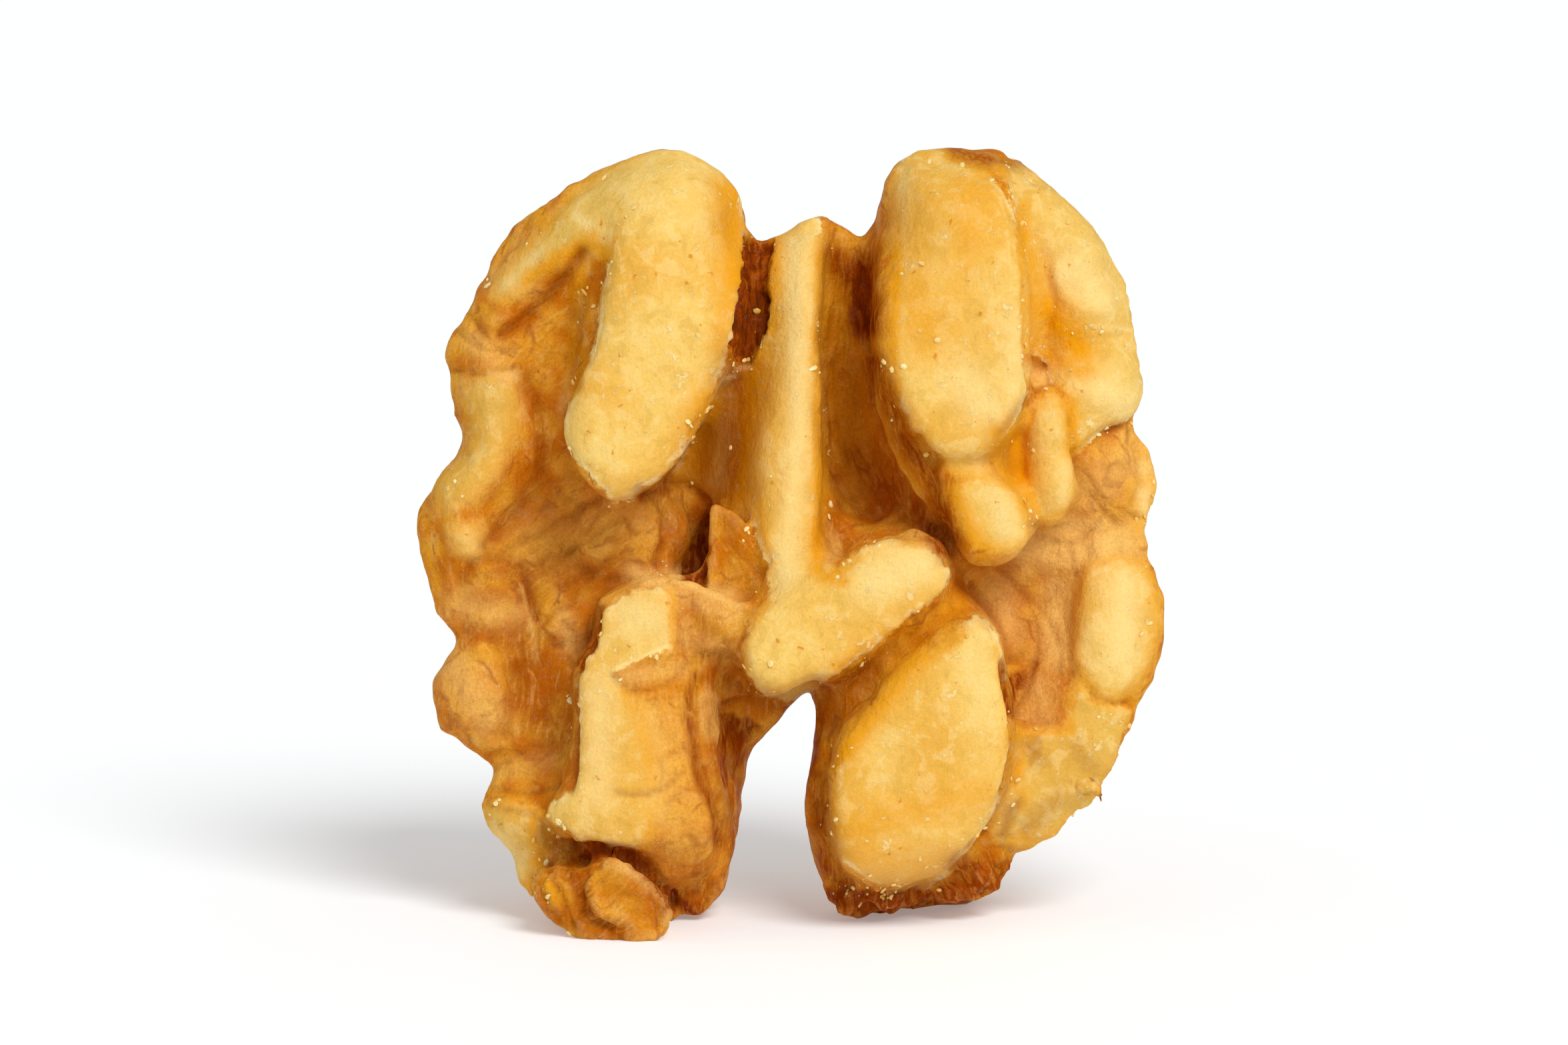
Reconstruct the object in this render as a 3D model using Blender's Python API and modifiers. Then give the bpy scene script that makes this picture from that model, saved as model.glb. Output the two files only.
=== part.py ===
# Half of a shelled walnut kernel, standing on its two lower lobes with its inner face to the front.
# The kernel is drawn in its own face frame, in millimetres: x runs across, y goes from the inner
# face towards the domed back, and z runs up the kernel. It is one grown piece, so it is one solid.
import math

import bmesh
import bpy
import numpy as np
from mathutils import Matrix, Vector, noise

# Driving sizes
KERNEL_LENGTH = 30.0          # millimetres from the feet to the top of the lobes
DRAWN_LENGTH = 34.1           # the length at which the lists below are drawn
DEPTH_SHARE = 0.9             # the real depth over the drawn one
LEAN_DEG = 8.0                # the kernel leans back this much on its feet
METRES = 0.001 * KERNEL_LENGTH / DRAWN_LENGTH

# How finely the forms are fused, how often they are smoothed, and how many triangles are left
GRAIN = 0.34
STRONG_SMOOTHING, LIGHT_SMOOTHING = 10, 2
TRIANGLES = 11000

# The outline of the kernel seen on its inner face, with the gap between the legs closed: points (x, z)
OUTLINE = [
    (-2.1, 30.0), (-2.1, 32.0), (-2.9, 33.0), (-4.3, 33.9), (-5.0, 34.1), (-7.0, 33.6), (-8.6, 33.0), (-10.0, 32.1),
    (-11.5, 31.0), (-12.5, 30.0), (-13.0, 28.8), (-13.5, 27.5), (-14.6, 25.8), (-14.75, 25.0), (-14.4, 23.3),
    (-13.95, 22.0), (-13.95, 21.3), (-15.0, 20.0), (-15.6, 19.3), (-15.95, 18.3), (-15.9, 17.0), (-15.3, 15.8),
    (-15.3, 15.0), (-15.05, 14.1), (-14.05, 13.2), (-14.8, 12.0), (-15.3, 10.4), (-15.1, 9.5), (-14.2, 8.6),
    (-13.2, 8.1), (-12.7, 7.1), (-13.2, 6.0), (-13.1, 5.5), (-12.0, 4.1), (-11.0, 2.6), (-9.6, 1.7), (-7.0, 1.5),
    (-4.4, 1.3), (3.0, 1.5), (5.8, 1.9), (7.2, 1.6), (8.8, 2.4), (9.6, 4.0), (10.6, 4.3), (11.5, 5.2),
    (12.9, 6.5), (13.6, 7.6), (14.3, 9.0), (15.1, 10.8), (15.7, 12.0), (15.95, 13.5), (15.95, 14.6), (15.6, 15.8), (15.2, 16.7), (15.0, 17.9), (15.4, 18.8),
    (15.5, 19.7), (15.4, 21.0), (14.6, 22.1), (14.3, 22.4), (14.85, 23.7), (14.85, 24.9), (14.4, 27.0),
    (14.2, 28.3), (13.0, 30.0), (12.4, 31.0), (11.3, 31.9), (10.0, 33.1), (9.5, 33.6), (7.5, 34.1), (5.0, 33.9),
    (4.0, 32.5), (3.6, 30.4), (3.2, 30.1), (2.4, 30.6), (1.5, 30.9), (0.0, 30.6), (-1.1, 30.1)]
# The plate behind the inner face: front, slopes, back and rounding, and its growth, which makes up for
# what the softening takes off
BODY = (5.4, 0.0, 0.0, 9.6, 1.5)
BODY_GROWTH = 0.28

# Rounded masses: centre, half sizes, and turn about y in degrees
MASSES = {
    "left half of the dome": ((-7.2, 8.6, 18.6), (7.4, 6.8, 14.2), 3),
    "right half of the dome": ((7.2, 8.6, 18.9), (7.5, 6.8, 14.2), -3),
    "middle of the dome": ((0.3, 8.6, 20.0), (4.0, 4.6, 9.4), 0),
    "back of the left leg": ((-6.9, 9.2, 7.0), (4.1, 5.0, 5.2), 0),
    "back of the right leg": ((5.9, 9.2, 7.2), (4.4, 5.0, 5.2), 0),
}

# Rolls along the rim: stations (x, y, z, radius)
ROLLS = {
    "arch": [(-5.2, 4.6, 31.4, 2.3), (-7.4, 4.8, 30.8, 2.3), (-9.4, 5.0, 29.6, 2.3), (-11.0, 5.4, 27.9, 2.2),
             (-12.2, 5.8, 26.1, 2.2), (-12.4, 5.8, 24.4, 1.9)],
    "left rim": [(-12.5, 5.6, 24.6, 1.9), (-12.5, 5.6, 22.4, 1.5), (-12.9, 5.6, 20.4, 1.6), (-13.6, 5.8, 18.2, 2.2),
                 (-13.5, 6.4, 15.6, 1.7)],
    "left rim low": [(-13.3, 7.0, 15.4, 1.8), (-12.5, 7.4, 13.2, 1.6), (-13.1, 6.6, 10.7, 2.2),
                     (-11.9, 7.0, 8.0, 1.3), (-11.2, 6.6, 5.8, 1.8), (-10.6, 5.8, 4.0, 1.6), (-9.7, 4.6, 2.6, 1.5)],
    "inside of the left leg": [(-4.8, 8.0, 6.4, 2.3), (-4.9, 8.6, 4.4, 2.2)],
    "right crest": [(8.2, 4.6, 31.6, 1.8), (10.2, 5.0, 30.4, 1.8), (11.9, 5.2, 28.4, 1.9), (12.5, 5.4, 26.2, 1.9),
                    (12.8, 5.8, 24.4, 1.8)],
    "right rim": [(12.9, 6.2, 24.0, 1.7), (12.6, 6.4, 22.4, 1.5), (13.3, 6.2, 20.2, 2.0), (13.0, 6.8, 17.4, 1.8),
                  (13.8, 6.6, 13.6, 2.0),
                  (12.5, 7.0, 9.6, 2.0), (11.0, 7.2, 7.0, 2.1)],
    "right leg side": [(3.2, 7.2, 11.6, 2.0), (2.9, 7.2, 9.0, 1.9), (2.7, 7.6, 6.4, 2.1), (3.4, 8.0, 4.4, 2.0)],
    "right toe": [(6.4, 8.2, 3.6, 1.6), (8.0, 7.6, 3.9, 1.5), (9.2, 7.4, 5.0, 1.5)],
}

# Hollows of the inner face: stations (x, y, z, radius)
HOLLOWS = {
    "beside the left lobe": [(-9.3, 1.8, 29.0, 1.5), (-10.1, 1.6, 27.0, 3.0), (-10.2, 1.4, 24.0, 4.2),
                             (-9.8, 1.0, 20.5, 5.2), (-9.2, 1.0, 17.0, 6.0), (-10.4, 1.6, 12.6, 4.8),
                             (-10.4, 2.0, 9.0, 3.8), (-10.4, 2.0, 6.8, 2.4)],
    "under the left lobe": [(-8.0, 4.6, 29.2, 0.9), (-8.2, 5.4, 26.4, 1.2), (-8.6, 5.8, 23.4, 1.5),
                            (-7.6, 6.0, 20.6, 1.7), (-5.6, 6.2, 19.2, 1.8), (-4.4, 6.6, 17.8, 1.4)],
    "left groove": [(-1.9, 2.6, 33.6, 1.5), (-2.0, 4.2, 30.2, 1.2), (-2.3, 5.0, 27.0, 1.6), (-3.0, 5.2, 23.0, 2.3),
                    (-3.6, 5.2, 19.8, 2.8), (-3.6, 5.8, 17.4, 2.0)],
    "left well": [(-6.0, 4.2, 20.6, 2.4), (-4.6, 4.6, 20.0, 2.8), (-4.0, 6.6, 18.2, 1.9), (-3.9, 7.4, 16.6, 1.2)],
    "right groove": [(2.8, 2.4, 33.6, 1.2), (2.7, 4.2, 30.6, 1.3), (2.6, 5.4, 27.4, 1.4), (2.9, 6.0, 23.6, 1.7),
                     (3.6, 5.6, 20.4, 2.2), (4.8, 4.6, 18.8, 2.0)],
    "beside the right lobe": [(10.4, 2.2, 31.2, 0.6), (10.9, 2.8, 28.6, 1.3), (11.0, 3.0, 26.0, 1.7),
                              (10.6, 3.0, 23.0, 2.1), (10.2, 3.0, 20.6, 2.4), (11.2, 3.0, 18.0, 2.8)],
    "right bowl": [(11.0, 1.8, 19.4, 2.4), (10.6, 1.4, 17.2, 4.4), (9.8, 1.6, 14.6, 5.4), (10.4, 2.0, 12.0, 4.2),
                   (10.6, 2.6, 10.2, 2.4)],
    "niche by the right leg": [(9.6, 6.0, 12.2, 0.7), (9.5, 6.6, 10.6, 0.8), (9.4, 6.0, 9.2, 0.6)],
    "middle": [(-3.4, 1.6, 13.4, 3.0), (0.0, 2.0, 13.4, 3.4), (3.4, 2.4, 15.0, 3.4), (5.6, 2.4, 12.0, 3.0)],
    "between the lobes": [(0.4, 0.6, 33.0, 3.8), (0.4, 0.8, 26.0, 4.2), (0.4, 0.8, 20.0, 4.2), (0.6, 0.8, 16.0, 3.6)],
}

# Lobes that the break has cut through: front depth, slopes of the front along x and z, back depth,
# edge rounding, and outline points (x, z)
LOBES = {
    "left lobe": (0.1, 0.03, 0.02, 8.0, 1.0, [
        (-2.05, 32.2), (-1.65, 30.4), (-1.6, 28.2), (-2.15, 25.8), (-3.4, 23.4), (-4.4, 21.4), (-5.8, 19.7),
        (-7.6, 18.9), (-8.9, 20.0), (-9.75, 22.2), (-8.95, 24.2), (-8.2, 26.2), (-7.9, 28.4), (-7.5, 30.2),
        (-7.6, 31.6), (-7.9, 33.2), (-6.8, 33.7), (-5.0, 34.2), (-3.2, 33.6)]),
    "right lobe": (0.1, 0.05, 0.02, 8.0, 0.8, [
        (3.95, 32.8), (4.4, 33.6), (5.4, 34.1), (7.4, 34.2), (9.0, 33.6), (9.6, 31.4), (10.1, 29.0), (10.25, 25.0),
        (10.1, 23.0), (9.0, 21.2), (6.6, 20.4), (5.0, 21.8), (4.1, 23.8), (3.55, 26.4), (3.5, 29.6)]),
    "bar": (0.5, 0.0, 0.0, 8.6, 0.7, [
        (-2.2, 13.2), (-1.3, 14.6), (0.4, 15.6), (2.0, 16.4), (3.2, 17.5), (5.0, 17.6), (6.5, 16.8), (7.0, 15.6),
        (5.4, 14.0), (3.4, 12.4), (1.4, 10.9), (0.0, 10.4), (-1.0, 10.6), (-1.9, 11.6)]),
    "ridge flank": (4.6, -1.1, 0.05, 9.0, 0.4, [
        (0.4, 30.6), (-1.2, 30.2), (-1.9, 27.0), (-2.5, 24.0), (-3.4, 21.4), (-3.7, 19.4), (-3.0, 17.6),
        (-2.2, 15.6), (0.4, 15.0)]),
    "ridge": (2.3, 0.05, 0.06, 9.0, 0.6, [
        (-0.9, 14.8), (-1.5, 17.6), (-1.6, 19.4), (-1.2, 22.4), (-0.6, 25.6), (-0.3, 28.2), (-0.6, 30.4),
        (0.4, 31.0), (1.9, 31.2), (1.35, 29.0), (1.25, 26.0), (1.3, 23.0), (1.4, 20.0), (1.2, 17.6), (1.5, 15.2)]),
    "right leg lobe": (0.5, 0.02, -0.12, 8.4, 1.1, [
        (7.9, 14.5), (8.9, 13.6), (9.5, 11.4), (9.75, 9.0), (9.3, 6.8), (7.9, 4.4), (6.1, 2.6), (4.2, 2.3),
        (2.3, 3.0), (1.55, 5.0), (1.6, 7.0), (2.1, 9.2), (3.4, 10.8), (5.0, 12.6), (6.7, 13.8)]),
    "left leg lobe": (1.2, 0.0, -0.03, 8.4, 0.8, [
        (-8.4, 14.8), (-7.4, 15.3), (-5.8, 15.8), (-4.8, 15.3), (-4.7, 13.4), (-5.4, 11.4), (-5.6, 9.0),
        (-5.4, 6.0), (-6.0, 4.2), (-7.4, 3.8), (-9.4, 4.4), (-10.7, 5.7), (-9.6, 7.0), (-9.3, 10.0), (-9.3, 12.0),
        (-8.4, 13.2)]),
    "left rim strip": (3.7, 0.1, 0.05, 9.0, 0.8, [
        (-14.3, 24.2), (-13.0, 24.7), (-11.7, 24.3), (-11.3, 23.0), (-11.5, 21.2), (-12.0, 20.0), (-13.2, 19.2),
        (-14.4, 18.6), (-15.2, 19.4), (-14.4, 20.8), (-13.9, 21.6), (-14.0, 22.4)]),
    "upper right lobe": (3.8, 0.3, 0.0, 9.0, 0.8, [
        (8.8, 33.1), (10.1, 33.0), (11.4, 31.9), (12.5, 30.8), (13.3, 29.4), (14.1, 28.0), (14.4, 26.4),
        (14.9, 24.9), (14.8, 23.6), (14.0, 22.5), (12.6, 21.6), (11.7, 23.5), (11.4, 25.5), (11.1, 28.0),
        (10.4, 30.5), (9.2, 31.8)]),
    "tongue": (3.6, 0.2, 0.0, 8.6, 0.6, [
        (10.8, 23.9), (11.5, 23.7), (12.0, 21.6), (12.2, 19.8), (12.0, 18.8), (11.2, 18.0), (10.8, 18.2),
        (10.3, 20.5), (10.2, 22.4)]),
    "right oval": (4.3, 0.3, 0.0, 9.0, 1.1, [
        (12.9, 16.5), (14.2, 16.6), (15.5, 15.9), (16.0, 14.5), (15.9, 12.8), (15.3, 11.4), (14.6, 10.5),
        (13.4, 10.4), (12.3, 11.4), (12.1, 13.0), (12.4, 15.0)]),
    "lower right lobe": (4.8, 0.15, -0.08, 9.6, 0.8, [
        (9.2, 9.2), (10.8, 9.6), (12.0, 10.4), (13.4, 10.6), (14.4, 9.6), (14.2, 8.8), (13.7, 7.5), (12.9, 6.4),
        (11.6, 5.2), (10.6, 4.3), (9.4, 4.1), (8.4, 4.7), (8.4, 6.5), (9.0, 7.8)]),
    "left low patch": (4.2, -0.1, -0.1, 8.6, 0.7, [
        (-13.2, 6.1), (-11.8, 6.6), (-10.6, 5.6), (-10.4, 4.2), (-10.6, 2.8), (-11.5, 2.4), (-12.3, 4.0)]),
}

# Smaller forms that stand on the floor of the hollows
KNOBS = {
    "knob": ((8.5, 3.4, 18.3), (1.95, 2.9, 2.0), 20),
    "neck": ((8.0, 4.6, 20.6), (1.5, 3.4, 1.4), 0),
    "left bowl swelling": ((-6.9, 8.4, 18.7), (2.4, 2.6, 2.0), 20),
    "left knob": ((-13.0, 5.6, 15.6), (1.1, 1.3, 0.9), 0),
    "left curl": ((-10.0, 7.2, 13.9), (1.4, 1.8, 0.9), -20),
}
SMALL_ROLLS = {
    "shoulder of the arch": [(-6.0, 2.5, 31.4, 1.9), (-8.2, 3.3, 31.2, 2.0), (-9.8, 4.4, 30.0, 2.0)],
    "under the right lobe": [(6.0, 6.6, 24.0, 1.8), (6.6, 6.2, 21.0, 1.9), (7.4, 5.6, 19.0, 1.8)],
    "column": [(-4.6, 3.4, 13.6, 1.5), (-5.0, 3.5, 11.2, 1.8), (-5.0, 3.8, 8.4, 2.2), (-4.8, 4.1, 5.8, 2.4),
               (-5.3, 4.8, 4.4, 2.1)],
    "column side": [(-3.8, 6.6, 11.0, 1.9), (-4.0, 6.2, 7.6, 2.0), (-4.4, 6.4, 4.6, 2.1)],
    "arch to the bar": [(-5.6, 3.4, 14.9, 1.3), (-3.6, 3.6, 14.4, 1.2), (-1.6, 2.8, 13.6, 1.3)],
    "torn skin": [(-2.9, 4.8, 18.6, 0.5), (-2.5, 4.4, 17.4, 0.7), (-2.4, 4.2, 15.8, 0.8)],
    "web": [(-4.6, 5.8, 13.2, 2.0), (-2.0, 6.2, 12.2, 2.0), (2.0, 6.4, 12.8, 2.2), (5.0, 5.8, 13.4, 2.2)],
    "end of the bar": [(4.2, 5.0, 16.6, 1.6), (6.0, 5.8, 17.2, 1.7), (7.4, 6.0, 17.2, 1.7)],
    "right leg shoulder": [(3.4, 5.0, 11.0, 1.8), (5.2, 4.4, 12.6, 1.9), (7.0, 4.0, 13.9, 1.6)],
}

# The left foot, which reaches forward: its front, its slopes, its back, its rounding and its outline (x, z)
LEFT_FOOT = (0.9, -0.12, 0.1, 5.0, 0.7, [
    (-10.7, 1.5), (-9.6, 0.6), (-7.2, 0.2), (-5.8, 0.2), (-5.0, 0.8), (-5.2, 2.2), (-6.4, 3.1), (-7.6, 3.8),
    (-8.8, 3.3), (-9.8, 3.6), (-10.9, 3.2), (-11.1, 2.2)])
# The feet that carry the back of the kernel
FEET = {
    "left heel": [(-4.7, 8.0, 4.4, 2.0), (-4.6, 8.8, 3.3, 2.0), (-5.8, 10.8, 3.35, 2.0), (-6.8, 12.2, 3.45, 2.0)],
    "right foot": [(2.9, 8.0, 3.6, 1.5), (2.9, 8.6, 2.7, 1.4), (4.8, 9.4, 3.0, 1.6), (6.6, 10.2, 3.2, 1.8),
                   (6.8, 12.2, 3.45, 2.0)],
}

# Places cut last: stations (x, y, z, radius)
SLOTS = {
    "between the bar and the knob": [(3.8, 3.0, 19.2, 1.0), (5.6, 2.6, 18.2, 0.7), (7.0, 2.4, 16.6, 0.6),
                                     (8.4, 3.0, 15.6, 1.0)],
    "over the left foot": [(-10.4, 2.0, 4.1, 0.6), (-8.8, 0.9, 4.0, 0.6), (-7.0, 0.6, 3.7, 0.5), (-5.6, 0.8, 2.8, 0.5)],
}
# Front, slopes, back and rounding of the cutters that go right through
GAP_CUT = (-6.0, 0.0, 0.0, 22.0, 0.3)
# The gap between the legs: outline points (x, z)
LEG_GAP = [(-5.2, -1.5), (-4.0, 0.9), (-3.0, 2.2), (-2.5, 4.0), (-2.1, 6.6), (-1.7, 8.5), (-0.9, 9.4), (0.1, 9.9),
           (0.75, 10.5), (1.1, 9.7), (1.0, 8.0), (0.55, 6.4), (0.8, 4.4), (1.3, 2.9), (2.0, 1.2), (2.2, -1.5)]

# The gap between the two upper lobes, over the ridge: outline points (x, z)
TOP_GAP = [(-4.6, 36.0), (-4.2, 34.1), (-2.9, 33.2), (-2.1, 32.2), (-1.8, 30.8), (-1.7, 30.2), (-1.0, 30.3),
           (0.2, 30.9), (1.5, 31.2), (2.2, 31.1), (2.6, 30.5), (3.2, 30.1), (3.6, 30.6), (3.75, 31.3), (3.95, 32.6),
           (4.4, 33.6), (5.0, 34.2), (5.2, 36.0)]

# How the kernel thins towards its rim: the depth that it thins to, the width of the rounding, and the
# share of the thickness that is left at the rim itself
RIM_DEPTH = 6.0
RIM_WIDTH = 4.0
RIM_SHARE = 0.35

# Resting: how far the feet are worn flat, and a block big enough to cut them level
FOOT_WEAR = 0.5
GROUND_SIZE = 100.0

KERNEL_COLOUR = (0.62, 0.33, 0.1, 1.0)
KERNEL_ROUGHNESS = 0.45

# Folds of the domed back
FOLD_SIZE = 5.4
FOLD_WIDTH = 0.16
FOLD_DEPTH = 0.9
FOLD_START, FOLD_RAMP = 8.0, 3.0
FEET_TOP = 4.0                # the folds fade out down to this height, so that the feet stay whole
FOLD_SHIFT = Vector((3.1, 0.0, 7.7))


def clear_scene():
    for item in list(bpy.data.objects):
        bpy.data.objects.remove(item, do_unlink=True)


# A ball with its own half size along each axis
def ball(centre, half_sizes, turn_deg=0.0):
    shape = bmesh.new()
    bmesh.ops.create_icosphere(shape, subdivisions=4, radius=1.0)
    place = Matrix.Translation(centre) @ Matrix.Rotation(math.radians(turn_deg), 4, "Y")
    bmesh.ops.transform(shape, matrix=place @ Matrix.Diagonal((*half_sizes, 1.0)), verts=shape.verts)
    mesh = bpy.data.meshes.new("ball")
    shape.to_mesh(mesh)
    shape.free()
    return mesh


# The closed mesh of a curve, with its caps welded on
def curve_to_mesh(curve):
    holder = bpy.data.objects.new("curve", curve)
    bpy.context.scene.collection.objects.link(holder)
    bpy.context.view_layer.update()
    graph = bpy.context.evaluated_depsgraph_get()
    mesh = bpy.data.meshes.new_from_object(holder.evaluated_get(graph))
    bpy.data.objects.remove(holder)
    bpy.data.curves.remove(curve)
    shape = bmesh.new()
    shape.from_mesh(mesh)
    bmesh.ops.remove_doubles(shape, verts=shape.verts, dist=0.0001)
    bmesh.ops.recalc_face_normals(shape, faces=shape.faces)
    shape.to_mesh(mesh)
    shape.free()
    return mesh


# A round roll through its stations, with a ball at either end
def roll(stations):
    curve = bpy.data.curves.new("roll", "CURVE")
    curve.dimensions = "3D"
    curve.bevel_depth = 1.0
    curve.bevel_resolution = 5
    curve.use_fill_caps = True
    line = curve.splines.new("BEZIER")
    line.bezier_points.add(len(stations) - 1)
    line.resolution_u = 6
    for point, (x, y, z, radius) in zip(line.bezier_points, stations):
        point.co = (x, y, z)
        point.radius = radius
        point.handle_left_type = "AUTO"
        point.handle_right_type = "AUTO"
    ends = [ball(stations[i][:3], (stations[i][3],) * 3) for i in (0, -1)]
    return [curve_to_mesh(curve), *ends]


# A plate with rounded edges and a front that may slope, from its outline (x, z)
def plate(front, slope_x, slope_z, back, rounding, outline, growth=0.0):
    curve = bpy.data.curves.new("plate", "CURVE")
    curve.dimensions = "2D"
    curve.fill_mode = "BOTH"
    curve.extrude = (back - front) / 2 - rounding
    curve.bevel_depth = rounding
    curve.bevel_resolution = 3
    curve.offset = growth - rounding
    line = curve.splines.new("POLY")
    line.points.add(len(outline) - 1)
    for point, (x, z) in zip(line.points, outline):
        point.co = (x, z, 0.0, 1.0)
    line.use_cyclic_u = True
    mesh = curve_to_mesh(curve)
    middle_y = (front + back) / 2
    middle_x = sum(x for x, _ in outline) / len(outline)
    middle_z = sum(z for _, z in outline) / len(outline)
    for vertex in mesh.vertices:
        x, z, depth = vertex.co
        share = 0.5 + depth / (back - front)
        slope = slope_x * (x - middle_x) + slope_z * (z - middle_z)
        vertex.co = (x, middle_y - depth + share * slope, z)
    return [mesh]


def rolls(group):
    return [mesh for stations in group.values() for mesh in roll(stations)]


def balls(group):
    return [ball(*values) for values in group.values()]


def plates(group):
    return [mesh for values in group.values() for mesh in plate(*values)]


# One object that takes in all the meshes given
def object_from(meshes, name):
    shape = bmesh.new()
    for mesh in meshes:
        shape.from_mesh(mesh)
        bpy.data.meshes.remove(mesh)
    joined = bpy.data.meshes.new(name)
    shape.to_mesh(joined)
    shape.free()
    item = bpy.data.objects.new(name, joined)
    bpy.context.scene.collection.objects.link(item)
    return item


# Applies the modifiers of an object
def settle(item):
    bpy.context.view_layer.update()
    graph = bpy.context.evaluated_depsgraph_get()
    mesh = bpy.data.meshes.new_from_object(item.evaluated_get(graph))
    item.modifiers.clear()
    item.data = mesh


# Fuses the forms of an object into one skin and softens it
def fuse(item, smoothing):
    remesh = item.modifiers.new("fuse", "REMESH")
    remesh.mode = "VOXEL"
    remesh.voxel_size = GRAIN
    soften = item.modifiers.new("soften", "SMOOTH")
    soften.factor = 0.5
    soften.iterations = smoothing
    settle(item)


def cut(item, tool):
    boolean = item.modifiers.new("cut", "BOOLEAN")
    boolean.operation = "DIFFERENCE"
    boolean.solver = "EXACT"
    boolean.object = tool
    settle(item)
    bpy.data.objects.remove(tool)


def cut_forms(item, name, meshes):
    tool = object_from(meshes, name)
    fuse(tool, LIGHT_SMOOTHING)
    cut(item, tool)


def add_forms(item, name, meshes):
    added = object_from(meshes, name)
    fuse(added, LIGHT_SMOOTHING)
    joined = object_from([item.data, added.data], item.name)
    fuse(joined, LIGHT_SMOOTHING)
    return joined


# How far the points (x, z) lie inside the outline, with 0 for those outside it
def distance_inside(points, outline):
    nearest = np.full(len(points), np.inf)
    inside = np.zeros(len(points), dtype=bool)
    for start, end in zip(outline, outline[1:] + outline[:1]):
        run = np.subtract(end, start)
        share = np.clip((points - start) @ run / (run @ run), 0.0, 1.0)
        gap = points - start - share[:, None] * run
        nearest = np.minimum(nearest, np.hypot(gap[:, 0], gap[:, 1]))
        if run[1]:
            crossing = start[0] + run[0] * (points[:, 1] - start[1]) / run[1]
            level = (start[1] > points[:, 1]) != (end[1] > points[:, 1])
            inside ^= level & (points[:, 0] < crossing)
    return np.where(inside, nearest, 0.0)


# Rounds the kernel off towards its outline, front and back
def thin_rim(item):
    vertices = item.data.vertices
    places = np.array([vertex.co for vertex in vertices])
    inward = np.minimum(distance_inside(places[:, [0, 2]], OUTLINE) / RIM_WIDTH, 1.0)
    share = np.maximum(np.sqrt(1.0 - (1.0 - inward) ** 2), RIM_SHARE)
    places[:, 1] = RIM_DEPTH + (places[:, 1] - RIM_DEPTH) * share
    vertices.foreach_set("co", places.ravel())


# Presses winding folds into the domed back
def fold_back(item):
    vertices = item.data.vertices
    normals = [vertex.normal.copy() for vertex in vertices]
    places = [vertex.co.copy() for vertex in vertices]
    for vertex, place, normal in zip(vertices, places, normals):
        behind = min(max((place.y - FOLD_START) / FOLD_RAMP, 0.0), 1.0)
        above = min(max((place.z - FEET_TOP) / FOLD_RAMP, 0.0), 1.0)
        share = behind * above
        if share > 0.0:
            value = noise.noise(place / FOLD_SIZE + FOLD_SHIFT)
            press = FOLD_DEPTH * share * math.exp(-(value / FOLD_WIDTH) ** 2)
            vertex.co = place - normal * press


def make_kernel():
    body = plate(*BODY, OUTLINE, growth=BODY_GROWTH) + balls(MASSES) + rolls(ROLLS)
    kernel = object_from(body, "walnut_kernel")
    fuse(kernel, STRONG_SMOOTHING)
    cut_forms(kernel, "hollows", rolls(HOLLOWS))
    kernel = add_forms(kernel, "lobes", plates(LOBES) + balls(KNOBS) + rolls(SMALL_ROLLS))
    cut_forms(kernel, "gaps", plate(*GAP_CUT, LEG_GAP) + plate(*GAP_CUT, TOP_GAP))
    thin_rim(kernel)
    kernel = add_forms(kernel, "feet", plate(*LEFT_FOOT) + rolls(FEET))
    cut_forms(kernel, "slots", rolls(SLOTS))
    fuse(kernel, LIGHT_SMOOTHING)
    fold_back(kernel)
    return kernel


# Leaves only as many triangles as the forms need
def simplify(item):
    decimate = item.modifiers.new("simplify", "DECIMATE")
    decimate.ratio = TRIANGLES / (2 * len(item.data.polygons))
    decimate.use_collapse_triangulate = True
    settle(item)


# Leans the kernel back, wears its feet level and brings its origin under its middle
def stand_up(item):
    flatten = Matrix.Diagonal((1.0, DEPTH_SHARE, 1.0, 1.0))
    item.data.transform(Matrix.Rotation(math.radians(-LEAN_DEG), 4, "X") @ flatten)
    floor = min(vertex.co.z for vertex in item.data.vertices) + FOOT_WEAR
    ground = bmesh.new()
    bmesh.ops.create_cube(ground, size=GROUND_SIZE)
    bmesh.ops.translate(ground, vec=(0.0, 0.0, floor - GROUND_SIZE / 2), verts=ground.verts)
    mesh = bpy.data.meshes.new("ground")
    ground.to_mesh(mesh)
    ground.free()
    cut(item, object_from([mesh], "ground"))
    xs = [vertex.co.x for vertex in item.data.vertices]
    ys = [vertex.co.y for vertex in item.data.vertices]
    middle = Vector(((min(xs) + max(xs)) / 2, (min(ys) + max(ys)) / 2, floor))
    item.data.transform(Matrix.Scale(METRES, 4) @ Matrix.Translation(-middle))


def kernel_material():
    material = bpy.data.materials.new("kernel skin and flesh")
    material.use_nodes = True
    shader = material.node_tree.nodes["Principled BSDF"]
    shader.inputs["Base Color"].default_value = KERNEL_COLOUR
    shader.inputs["Roughness"].default_value = KERNEL_ROUGHNESS
    shader.inputs["Metallic"].default_value = 0.0
    return material


def main():
    clear_scene()
    kernel = make_kernel()
    simplify(kernel)
    stand_up(kernel)
    kernel.name = "walnut_kernel"
    kernel.data.name = "walnut_kernel"
    kernel.data.materials.clear()
    kernel.data.materials.append(kernel_material())
    kernel.data.shade_smooth()
    group = bpy.data.collections.new("walnut")
    bpy.context.scene.collection.children.link(group)
    group.objects.link(kernel)
    bpy.context.scene.collection.objects.unlink(kernel)


main()
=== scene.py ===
import math

import bmesh
import bpy
import numpy as np
from mathutils import Matrix, Vector, noise


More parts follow.
